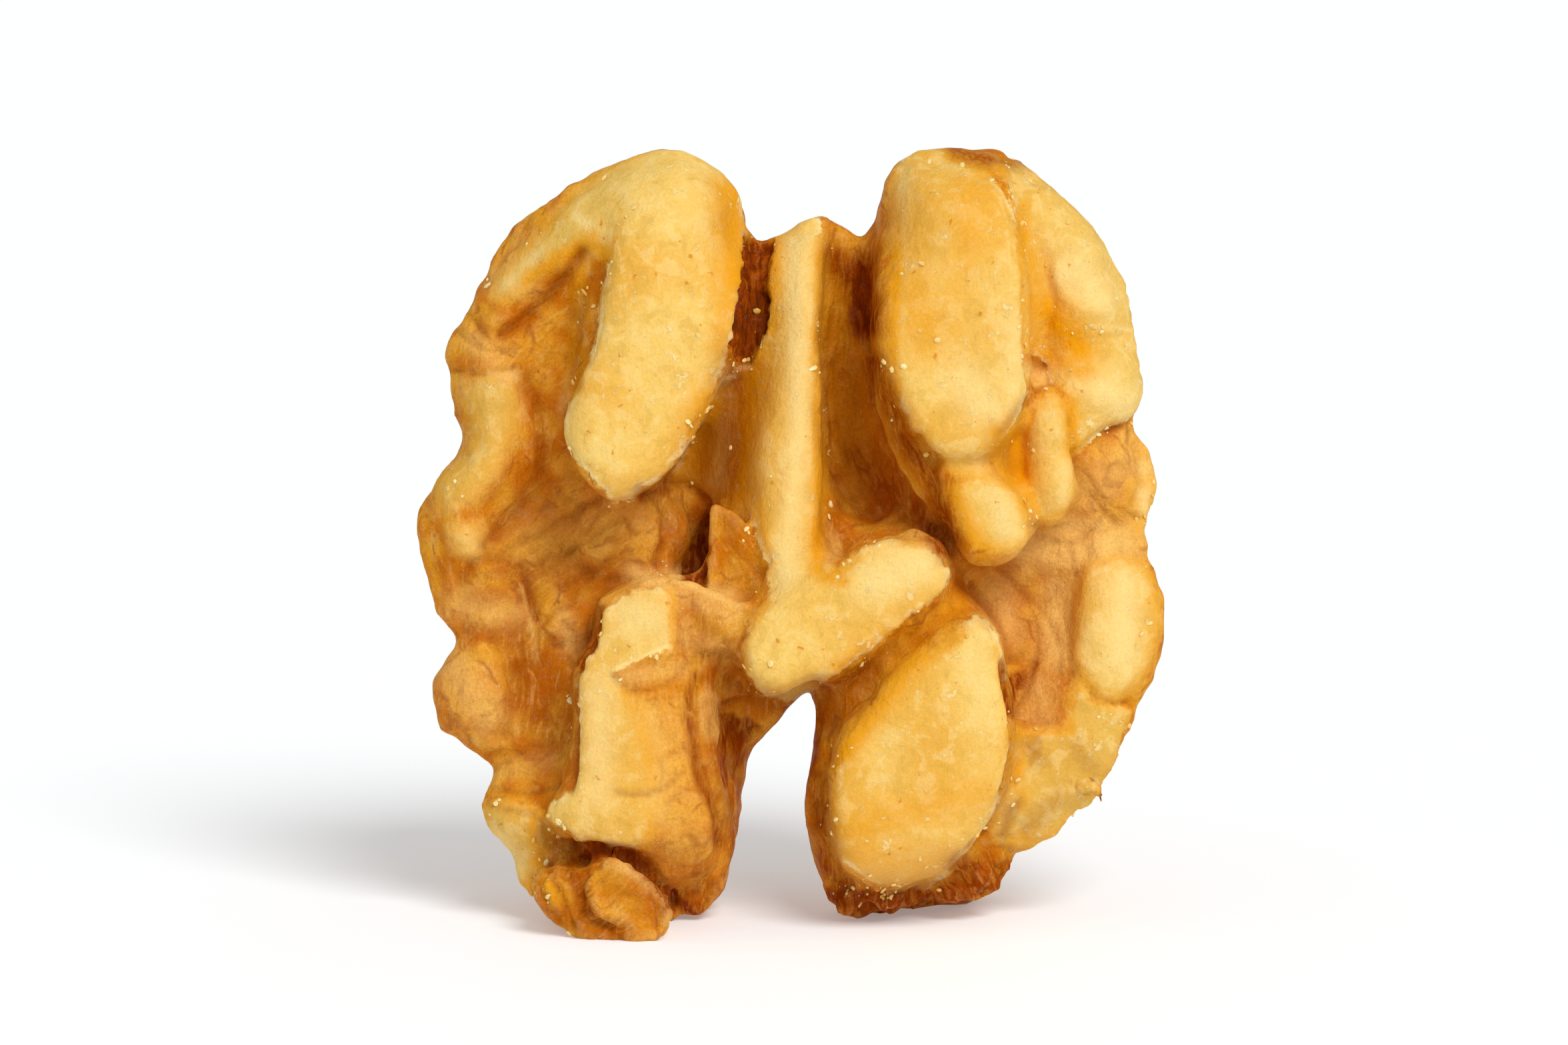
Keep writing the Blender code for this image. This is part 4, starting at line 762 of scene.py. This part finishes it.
# Takes points out of the back, where the skin is plain, until the mesh has the triangles asked for
def thinBack(item):
    places, _ = readMesh(item.data)
    group = item.vertex_groups.new(name="back")
    steps, startDepth, fullDepth = 10, 5.0, 8.5
    levels = np.rint(steps * smoothStep(startDepth, fullDepth, places[:, 1])).astype(int)
    for level in range(1, steps + 1):
        group.add(np.flatnonzero(levels == level).tolist(), level / steps, "REPLACE")
    triangles = sum(len(polygon.vertices) - 2 for polygon in item.data.polygons)
    thin = item.modifiers.new("thin", "DECIMATE")
    thin.ratio = min(1.0, kernel["triangles"] / triangles)
    thin.vertex_group = "back"
    thin.vertex_group_factor = 50.0
    settle(item)
    item.vertex_groups.clear()


def waves(places, size, shift):
    offset = Vector((shift, 2.0 * shift, -shift))
    return np.array([noise.noise(Vector(place) / size + offset) for place in places])


# Flat facets, about 0 on average
def facets(places, size):
    return np.array([noise.voronoi(Vector(place) / size)[0][0] for place in places]) - 0.4


# Ridges that run at an angle from +x on the face
def ridges(places, angleDeg):
    run = np.array([math.cos(math.radians(angleDeg)), math.sin(math.radians(angleDeg))])
    along = places[:, 0] * run[0] + places[:, 2] * run[1]
    across = places[:, 0] * run[1] - places[:, 2] * run[0]
    return np.array([noise.noise(Vector((0.35 * u, 1.5 * v, 0.5 * y)))
                     for u, v, y in zip(along, across, places[:, 1])])


def fibreShare(flat, spots):
    share = np.zeros(len(flat))
    for x, z, reach in spots:
        share = np.maximum(share, np.exp(-((flat - (x, z)) ** 2).sum(1) / reach ** 2))
    return smoothStep(0.15, 0.6, share)


# What the patches say about points (x, z): the distance into the flesh, how slowly the skin gives way
# to it, how rough it is and how far it stands out. facing: how much the surface looks to the front
def readFlesh(flat, facing):
    farOut, tornBlur = -2.5, 0.06
    edge = np.full(len(flat), farOut)
    blur = np.full(len(flat), tornBlur)
    lift, rough, weights = (np.full(len(flat), start) for start in (0.0, 0.0, 0.001))
    for patchBlur, patchRough, patchLift, outline in flesh.values():
        inside = insideDistance(flat, outline)
        weight = smoothStep(-0.7, 0.7, inside)
        rough += patchRough * weight
        weights += weight
        blur = np.where(inside > edge, patchBlur, blur)
        edge = np.maximum(edge, inside)
        slope = 0.15 + 0.7 * patchBlur
        lift = np.maximum(lift, patchLift * smoothStep(-slope, slope, inside))
    blur = np.maximum(blur, strokeShare(flat, softEdges))
    wrap = smoothStep(-0.45, 0.0, facing)
    edge = np.where(wrap > 0.0, edge - 1.5 * (1.0 - wrap), farOut)
    return edge, blur, rough / weights * smoothStep(-0.1, 0.3, edge), lift


# Tones of points (x, z), with the painted shade of the creases taken into the brown share, and how far
# creases and scraps lift them
def readMarks(flat, raggedness):
    shares = {tone: strokeShare(flat, strokes) for tone, strokes in tones.items()}
    lift = np.zeros(len(flat))
    lineReach, scrapReach, scrapEdge = 1.5, 0.5, 0.12
    for points, width, depth, shade in lines.values():
        near = nearTo(flat, points, lineReach)
        distance, _ = distanceTo(flat[near], smoothLine(points))
        share = np.exp(-(distance / width) ** 2)
        lift[near] -= depth * share
        shares["brownAndShade"][near] = np.maximum(shares["brownAndShade"][near], shade * share)
    for tone, strength, height, outline in scraps.values():
        inside = insideDistance(flat, outline, scrapReach) + raggedness
        share = smoothStep(-scrapEdge, scrapEdge, inside)
        shares[tone] = np.maximum(shares[tone], strength * share)
        lift += height * share
    return shares, lift


# Works the flesh, the creases and the tones into the fine mesh
def carve(item):
    mesh = item.data
    places, normals = readMesh(mesh)
    flat = places[:, [0, 2]]
    facing = -normals[:, 1]
    front = smoothStep(-0.05, 0.35, facing)
    edge, blur, rough, lift = readFlesh(flat, facing)
    shares, marks = readMarks(flat, raggedness=0.16 * waves(places, 0.45, shift=71.0))
    skin = smoothStep(0.1, -0.3, edge)
    torn = np.exp(-(edge / 0.35) ** 2) * smoothStep(0.5, 0.1, blur) * front
    creased = strokeShare(flat, crumpled)
    rising, falling = (fibreShare(flat, fibres[way]) for way in ("rising", "falling"))
    threads = (1.0 - rising - falling) * ridges(places, angleDeg=92.0)
    threads += rising * ridges(places, angleDeg=42.0) + falling * ridges(places, angleDeg=122.0)
    broken = facets(places, kernel["facetSize"]) + 0.5 * facets(places, 0.4 * kernel["facetSize"])
    crushed = facets(places, 0.75) + 0.6 * waves(places, 0.4, shift=13.0)

    push = (lift + marks) * front
    push += kernel["unevenness"] * waves(places, kernel["unevennessSize"], shift=5.0)
    push += kernel["crinkle"] * (0.4 + skin) * waves(places, kernel["crinkleSize"], shift=9.0)
    push += kernel["facet"] * rough * broken
    push += kernel["crumble"] * torn * waves(places, 0.4, shift=61.0)
    push += kernel["crumple"] * creased * crushed * front
    push += kernel["threads"] * skin * threads
    writeMesh(mesh, places + normals * push[:, None])

    places, normals = readMesh(mesh)
    clusters = smoothStep(-0.1, 0.35, waves(places, 1.6, shift=51.0))
    loose = 0.8 * torn + 0.1 * smoothStep(0.0, 0.5, edge) + 2.0 * strokeShare(flat, crumbled)
    loose *= 1.0 - 0.9 * smoothStep(1.05, 1.2, shares["brownAndShade"])
    toned = smoothStep(-0.35, 0.15, facing)
    attributes = {
        "fleshEdge": edge, "blur": blur, "rough": np.maximum(rough, 0.6 * creased),
        **{tone: share * toned for tone, share in shares.items()},
        "hollow": hollowness(mesh, places, normals, rounds=24, full=0.25),
        "deep": hollowness(mesh, places, normals, rounds=110, full=0.9),
        "rising": rising, "falling": falling,
        "mottle": waves(places, 1.1, shift=21.0), "tint": waves(places, 3.4, shift=33.0),
        "crumbs": clusters * loose * front}
    for name, values in attributes.items():
        layer = mesh.attributes.new(name, "FLOAT", "POINT")
        layer.data.foreach_set("value", values.astype(np.float32))


# Moves points that stand out of the solid's own box back onto it
def keepInBox(item):
    places, _ = readMesh(item.data)
    writeMesh(item.data, np.clip(places, cadBox[0], cadBox[1]))


# A node with its inputs given as numbers, colours or other nodes' outputs
def makeNode(tree, kind, values=None, **settings):
    node = tree.nodes.new(kind)
    for name, value in settings.items():
        setattr(node, name, value)
    for name, value in (values or {}).items():
        if isinstance(value, bpy.types.NodeSocket):
            tree.links.new(value, node.inputs[name])
        else:
            node.inputs[name].default_value = value
    return node


def mixColour(tree, factor, first, second, blend="MIX"):
    return makeNode(tree, "ShaderNodeMix", {0: factor, 6: first, 7: second}, data_type="RGBA",
                    blend_type=blend).outputs[2]


def mixNumber(tree, factor, first, second):
    return makeNode(tree, "ShaderNodeMix", {0: factor, 2: first, 3: second}, data_type="FLOAT").outputs[0]


def mathNode(tree, operation, *values, clamp=False):
    inputs = dict(enumerate(values))
    return makeNode(tree, "ShaderNodeMath", inputs, operation=operation, use_clamp=clamp).outputs[0]


# The greatest, the product or the like of several values
def combine(tree, operation, first, *others):
    for other in others:
        first = mathNode(tree, operation, first, other)
    return first


def ramp(tree, value, low, high, lowOut=0.0, highOut=1.0):
    return makeNode(tree, "ShaderNodeMapRange",
                    {"Value": value, "From Min": low, "From Max": high, "To Min": lowOut, "To Max": highOut},
                    interpolation_type="SMOOTHSTEP").outputs["Result"]


def textureNoise(tree, vector, scale, detail=3.0, roughness=0.55, distortion=0.0):
    return makeNode(tree, "ShaderNodeTexNoise",
                    {"Vector": vector, "Scale": scale, "Detail": detail, "Roughness": roughness,
                     "Distortion": distortion}).outputs["Fac"]


# Noise drawn out along z after a turn about y
def strandNoise(tree, place, turnDeg):
    turn = (0.0, math.radians(-turnDeg), 0.0)
    turned = makeNode(tree, "ShaderNodeMapping", {"Vector": place, "Rotation": turn}).outputs["Vector"]
    drawn = makeNode(tree, "ShaderNodeMapping", {"Vector": turned, "Scale": (3.4, 2.5, 0.8)})
    return textureNoise(tree, drawn.outputs["Vector"], 1.0, 3.0, 0.6, 1.2)


# A base colour with layers of the finish over it, each as its amount and its name
def layered(tree, base, layers):
    for amount, name in layers:
        base = mixColour(tree, amount, base, finish[name])
    return base


def newMaterial(name, values):
    material = bpy.data.materials.new(name)
    material.use_nodes = True
    shader = material.node_tree.nodes["Principled BSDF"]
    for socket, value in values.items():
        shader.inputs[socket].default_value = value
    return material, material.node_tree, shader


finish = {
    "cream": (0.87, 0.57, 0.145, 1.0),
    "butter": (0.81, 0.44, 0.070, 1.0),
    # pale of the crumbly flesh, also used as painted highlight on crests and facets
    "fleshPaleAndLit": (0.90, 0.66, 0.25, 1.0),
    "olive": (0.66, 0.38, 0.06, 1.0),
    # orange of thin skin and amber flesh, also used as painted shade in the flesh's deep hollows
    "fleshOrangeAndShade": (0.80, 0.335, 0.004, 1.0),
    "crumb": (0.96, 0.74, 0.34, 1.0),
    "skin": (0.60, 0.175, 0.004, 1.0),
    "skinLight": (0.75, 0.32, 0.02, 1.0),
    # pale of the skin's flakes, also used as painted highlight on its crests and crinkles
    "skinPaleAndLit": (0.88, 0.52, 0.14, 1.0),
    # brown of the skin, also used as painted shade in hollows, gaps and creases
    "skinBrownAndShade": (0.28, 0.044, 0.0005, 1.0),
    # painted shade for the deepest gaps and creases
    "deepestShade": (0.045, 0.006, 0.0004, 1.0),
    "subsurface": 0.25,
    "subsurfaceScale": 0.00035,
}


# What the kernel's material reads: the attributes of the mesh and some noises
def readPlace(tree):
    read = {name: makeNode(tree, "ShaderNodeAttribute", attribute_name=name).outputs["Fac"]
            for name in ("fleshEdge", "blur", "rough", "brownAndShade", "orange", "paleAndLit", "hollow", "deep",
                         "rising", "falling", "mottle", "tint")}
    metres = makeNode(tree, "ShaderNodeTexCoord").outputs["Object"]
    place = makeNode(tree, "ShaderNodeMapping", {"Vector": metres, "Scale": (1000.0, 1000.0, 1000.0)})
    place = read["place"] = place.outputs["Vector"]
    read["fine"] = textureNoise(tree, place, 3.2, 5.0, 0.65)
    read["grit"] = textureNoise(tree, place, 9.0, 3.0, 0.75)
    read["medium"] = textureNoise(tree, place, 1.3, 4.0, 0.6, 0.5)
    strands = strandNoise(tree, place, 2.0)
    strands = mixNumber(tree, read["rising"], strands, strandNoise(tree, place, 48.0))
    read["strands"] = mixNumber(tree, read["falling"], strands, strandNoise(tree, place, -32.0))
    flakes = textureNoise(tree, place, 2.1, 4.0, 0.7)
    read["flake"] = mathNode(tree, "MULTIPLY", ramp(tree, flakes, 0.60, 0.63),
                             ramp(tree, read["mottle"], -0.1, 0.3, 0.0, 0.55))
    return read


def fleshColour(tree, read, lip):
    fine, medium = read["fine"], read["medium"]
    flecks = textureNoise(tree, read["place"], 2.6, 2.0, 0.5)
    pits = mathNode(tree, "MAXIMUM", ramp(tree, fine, 0.34, 0.26, 0.0, 0.7),
                    ramp(tree, medium, 0.32, 0.24, 0.0, 0.7))
    return layered(tree, finish["cream"], [
        (ramp(tree, read["tint"], -0.4, 0.4), "butter"),
        (mathNode(tree, "MULTIPLY", read["rough"], 0.7), "olive"),
        (ramp(tree, medium, 0.50, 0.60, 0.0, 0.4), "fleshPaleAndLit"),
        (ramp(tree, medium, 0.46, 0.38, 0.0, 0.35), "olive"),
        # pale strokes: partly the flesh's own pale, partly painted highlight
        (read["paleAndLit"], "fleshPaleAndLit"),
        (read["orange"], "fleshOrangeAndShade"),
        # painted shade: flesh in deep hollows turns orange
        (ramp(tree, read["deep"], -0.7, 0.0, 0.7, 0.0), "fleshOrangeAndShade"),
        (lip, "crumb"),
        (read["flake"], "crumb"),
        (ramp(tree, fine, 0.64, 0.76, 0.0, 0.35), "crumb"),
        (pits, "olive"),
        (ramp(tree, flecks, 0.29, 0.25, 0.0, 0.6), "skin")])


def skinColour(tree, read):
    return layered(tree, finish["skin"], [
        (ramp(tree, read["mottle"], -0.35, 0.45), "skinLight"),
        (ramp(tree, read["strands"], 0.52, 0.72, 0.0, 0.35), "skinPaleAndLit"),
        (ramp(tree, read["medium"], 0.50, 0.75, 0.0, 0.35), "skinPaleAndLit"),
        # painted highlight: convex crinkles of the skin turn paler
        (ramp(tree, read["hollow"], 0.2, 0.9, 0.0, 0.35), "skinPaleAndLit"),
        # pale strokes: partly the skin's own pale flakes, partly painted highlight and painted light
        (read["paleAndLit"], "skinPaleAndLit"),
        (mathNode(tree, "MULTIPLY", read["orange"], 0.7), "fleshOrangeAndShade")])


# Thin veins of the skin, along the edges of warped cells
def veins(tree, read):
    warp = makeNode(tree, "ShaderNodeTexNoise", {"Vector": read["place"], "Scale": 0.5, "Detail": 1.0})
    bent = makeNode(tree, "ShaderNodeVectorMath",
                    {0: warp.outputs["Color"], 1: (2.0, 2.0, 2.0), 2: read["place"]},
                    operation="MULTIPLY_ADD")
    cells = makeNode(tree, "ShaderNodeTexVoronoi", {"Vector": bent.outputs["Vector"], "Scale": 0.4},
                     feature="DISTANCE_TO_EDGE")
    return mathNode(tree, "MULTIPLY", ramp(tree, cells.outputs["Distance"], 0.0, 0.07, 0.55, 0.0),
                    ramp(tree, read["medium"], 0.45, 0.6))


# Painted shade that browns the skin in its hollows, and the skin's own brown between its fibres and
# along its veins
def hollowShadeAndGrain(tree, read, isSkin):
    shadeAndGrain = combine(tree, "MAXIMUM", ramp(tree, read["hollow"], -0.9, 0.1, 0.6, 0.0),
                   ramp(tree, read["deep"], -1.0, 0.0, 0.55, 0.0),
                   ramp(tree, read["strands"], 0.46, 0.30, 0.0, 0.3),
                   ramp(tree, read["medium"], 0.42, 0.26, 0.0, 0.25), veins(tree, read))
    return combine(tree, "MULTIPLY", shadeAndGrain, ramp(tree, read["paleAndLit"], 0.0, 1.0, 1.0, 0.35), isSkin)


def kernelMaterial():
    material, tree, shader = newMaterial("kernel skin and flesh", {
        "Coat Roughness": 0.22, "Specular IOR Level": 0.02, "Subsurface Weight": finish["subsurface"],
        "Subsurface Radius": (1.0, 0.45, 0.15), "Subsurface Scale": finish["subsurfaceScale"]})
    read = readPlace(tree)
    fine, grit, strands = read["fine"], read["grit"], read["strands"]
    ragged = mathNode(tree, "MULTIPLY_ADD", fine, 0.6, read["fleshEdge"])
    ragged = mathNode(tree, "SUBTRACT", ragged, 0.3)
    edgePlace = mathNode(tree, "DIVIDE", ragged, read["blur"])
    isFlesh = ramp(tree, edgePlace, -1.0, 1.0)
    isSkin = mathNode(tree, "SUBTRACT", 1.0, isFlesh)
    isTorn = ramp(tree, read["blur"], 0.1, 0.3, 1.0, 0.0)
    lip = combine(tree, "MULTIPLY", ramp(tree, ragged, -0.02, 0.05), ramp(tree, ragged, 0.06, 0.28, 0.7, 0.0),
                  isTorn, ramp(tree, read["mottle"], -0.25, 0.3))
    amber = combine(tree, "MULTIPLY", ramp(tree, edgePlace, -1.0, 0.2),
                    ramp(tree, edgePlace, 0.4, 2.0, 0.55, 0.0), mathNode(tree, "SUBTRACT", 1.0, isTorn),
                    ramp(tree, read["blur"], 0.4, 0.8, 1.0, 0.3))
    streaks = mixNumber(tree, isFlesh, ramp(tree, strands, 0.35, 0.65, 1.25, 0.7),
                        ramp(tree, strands, 0.35, 0.65, 1.1, 0.9))
    # brown marks: the skin's own brown and stains, with painted shade in gaps, holes and creases
    brownAndShade = mathNode(tree, "MULTIPLY", read["brownAndShade"], streaks)

    colour = mixColour(tree, isFlesh, skinColour(tree, read), fleshColour(tree, read, lip))
    colour = layered(tree, colour, [
        (amber, "fleshOrangeAndShade"),
        # painted shade: brown marks and hollows darken towards skin brown, besides the skin's own brown
        (mathNode(tree, "MAXIMUM", brownAndShade, hollowShadeAndGrain(tree, read, isSkin), clamp=True), "skinBrownAndShade"),
        # painted shade: brown shares above 1 darken the deepest gaps and creases to near black
        (mathNode(tree, "SUBTRACT", brownAndShade, 1.0, clamp=True), "deepestShade")])
    shade = mixNumber(tree, isFlesh, ramp(tree, grit, 0.3, 0.7, 0.86, 1.09),
                      ramp(tree, grit, 0.3, 0.7, 0.94, 1.04))
    relief = mathNode(tree, "MULTIPLY", strands, 0.35)
    for part, height in ((fine, 0.8), (read["medium"], ramp(tree, isFlesh, 0.0, 1.0, 0.9, 0.5)),
                         (isFlesh, 0.3), (grit, 0.2), (read["flake"], 0.5)):
        relief = mathNode(tree, "MULTIPLY_ADD", part, height, relief)
    bump = makeNode(tree, "ShaderNodeBump", {"Height": relief, "Strength": 0.8, "Distance": 0.00012})
    for socket, value in (("Base Color", mixColour(tree, 1.0, colour, shade, "MULTIPLY")),
                          ("Roughness", mathNode(tree, "MULTIPLY_ADD", fine, 0.3, 0.33)),
                          ("Coat Weight", ramp(tree, fine, 0.54, 0.64, 0.0, 0.4)),
                          ("Normal", bump.outputs["Normal"]), ("Coat Normal", bump.outputs["Normal"])):
        tree.links.new(value, shader.inputs[socket])
    return material


def makeKernel():
    body = copySolid()
    addForms(body)
    refine(body)
    easeSteps(body)
    thinBack(body)
    print("fine mesh:", len(body.data.vertices), "points")
    carve(body)
    body.data.transform(drawnToWorld())
    keepInBox(body)
    body.data.shade_smooth()
    body.data.materials.append(kernelMaterial())
    return body


# Crumbs of flesh that lie on the kernel, mostly along the torn skin. The keys name the group's inputs
crumbs = {
    "Per square metre": 9000000.0,
    "Smallest": 0.00002,
    "Largest": 0.00014,
    "Flatness": 0.55,
    "Seed": 7,
}


def crumbMaterial():
    material, tree, shader = newMaterial("flesh crumbs", {
        "Roughness": 0.5, "Subsurface Weight": finish["subsurface"], "Subsurface Radius": (1.0, 0.5, 0.2),
        "Subsurface Scale": finish["subsurfaceScale"]})
    change = textureNoise(tree, makeNode(tree, "ShaderNodeTexCoord").outputs["Object"], 900.0, 2.0)
    colour = mixColour(tree, ramp(tree, change, 0.35, 0.65), finish["crumb"], finish["butter"])
    tree.links.new(colour, shader.inputs["Base Color"])
    return material


def crumbTree(material):
    tree = bpy.data.node_groups.new("crumbs on the kernel", "GeometryNodeTree")
    tree.interface.new_socket("Geometry", in_out="INPUT", socket_type="NodeSocketGeometry")
    for name, value in crumbs.items():
        kind = "NodeSocketInt" if isinstance(value, int) else "NodeSocketFloat"
        tree.interface.new_socket(name, in_out="INPUT", socket_type=kind)
    tree.interface.new_socket("Geometry", in_out="OUTPUT", socket_type="NodeSocketGeometry")
    given = makeNode(tree, "NodeGroupInput").outputs
    share = makeNode(tree, "GeometryNodeInputNamedAttribute", {"Name": "crumbs"}, data_type="FLOAT")
    density = mathNode(tree, "MULTIPLY", share.outputs["Attribute"], given["Per square metre"])
    scatter = makeNode(tree, "GeometryNodeDistributePointsOnFaces",
                       {"Mesh": given["Geometry"], "Density": density, "Seed": given["Seed"]},
                       distribute_method="RANDOM").outputs
    chance = makeNode(tree, "FunctionNodeRandomValue", {2: 0.0, 3: 1.0, "Seed": given["Seed"]},
                      data_type="FLOAT").outputs[1]
    size = makeNode(tree, "ShaderNodeMapRange",
                    {"Value": mathNode(tree, "POWER", chance, 3.0), "To Min": given["Smallest"],
                     "To Max": given["Largest"]}).outputs[0]
    width = makeNode(tree, "FunctionNodeRandomValue", {2: 0.8, 3: 1.9, "Seed": 3}, data_type="FLOAT")
    scale = makeNode(tree, "ShaderNodeCombineXYZ",
                     {"X": mathNode(tree, "MULTIPLY", size, width.outputs[1]), "Y": size,
                      "Z": mathNode(tree, "MULTIPLY", given["Flatness"], size)})
    grain = makeNode(tree, "GeometryNodeMeshIcoSphere", {"Radius": 1.0, "Subdivisions": 1})
    placed = makeNode(tree, "GeometryNodeInstanceOnPoints",
                      {"Points": scatter["Points"], "Instance": grain.outputs["Mesh"],
                       "Rotation": scatter["Rotation"], "Scale": scale.outputs[0]})
    turn = makeNode(tree, "FunctionNodeRandomValue", {0: (0.0, 0.0, 0.0), 1: (0.7, 0.7, 6.28)},
                    data_type="FLOAT_VECTOR")
    turned = makeNode(tree, "GeometryNodeRotateInstances",
                      {"Instances": placed.outputs["Instances"], "Rotation": turn.outputs[0]})
    real = makeNode(tree, "GeometryNodeRealizeInstances", {"Geometry": turned.outputs["Instances"]})
    painted = makeNode(tree, "GeometryNodeSetMaterial",
                       {"Geometry": real.outputs["Geometry"], "Material": material})
    makeNode(tree, "NodeGroupOutput", {"Geometry": painted.outputs["Geometry"]})
    return tree


def makeCrumbs(body):
    item = addObject("walnut_crumbs", body.data.copy())
    modifier = item.modifiers.new("crumbs", "NODES")
    modifier.node_group = crumbTree(crumbMaterial())
    for socket in modifier.node_group.interface.items_tree:
        if socket.in_out == "INPUT" and socket.name in crumbs:
            modifier[socket.identifier] = crumbs[socket.name]
    settle(item)
    keepInBox(item)
    return item


def makeFloor():
    shape = bmesh.new()
    bmesh.ops.create_grid(shape, x_segments=1, y_segments=1, size=3.0)
    mesh = bpy.data.meshes.new("floor")
    shape.to_mesh(mesh)
    shape.free()
    material, _, _ = newMaterial("pale floor", {
        "Base Color": (0.84, 0.86, 0.87, 1.0), "Roughness": 0.6, "Specular IOR Level": 0.1,
        "Emission Color": (1.0, 1.0, 1.0, 1.0), "Emission Strength": light["floorGlow"]})
    mesh.materials.append(material)
    return addObject("floor", mesh)


def aimAt(item, target):
    direction = Vector(target) - item.location
    item.rotation_euler = direction.to_track_quat("-Z", "Y").to_euler()


def makeLights():
    world = bpy.data.worlds.new("studio")
    world.use_nodes = True
    world.node_tree.nodes["Background"].inputs["Color"].default_value = (1.0, 1.0, 1.0, 1.0)
    world.node_tree.nodes["Background"].inputs["Strength"].default_value = light["sky"]
    bpy.context.scene.world = world
    lamp = bpy.data.lights.new("key", "SUN")
    lamp.angle = math.radians(light["keySoftnessDeg"])
    lamp.energy = light["keyPower"]
    item = addObject("key", lamp)
    item.location = light["keyFrom"]
    aimAt(item, (0.0, 0.0, 0.0))
    bpy.context.scene.view_settings.view_transform = "Standard"


def makeCamera():
    lens = bpy.data.cameras.new("camera")
    lens.lens = camera["lens"]
    lens.sensor_width = camera["sensor"]
    item = addObject("camera", lens)
    tilt = math.radians(camera["elevationDeg"])
    back = Vector((0.0, -math.cos(tilt), math.sin(tilt))) * camera["distance"]
    item.location = Vector(camera["target"]) + back
    aimAt(item, camera["target"])
    bpy.context.scene.camera = item


body = makeKernel()
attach(body, "root")
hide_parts("walnut_kernel")
print("kernel done")

grains = makeCrumbs(body)
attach(grains, "root")
print("crumbs done:", len(grains.data.polygons), "faces")

floor = makeFloor()
makeLights()
makeCamera()
print("floor, lights and camera done")
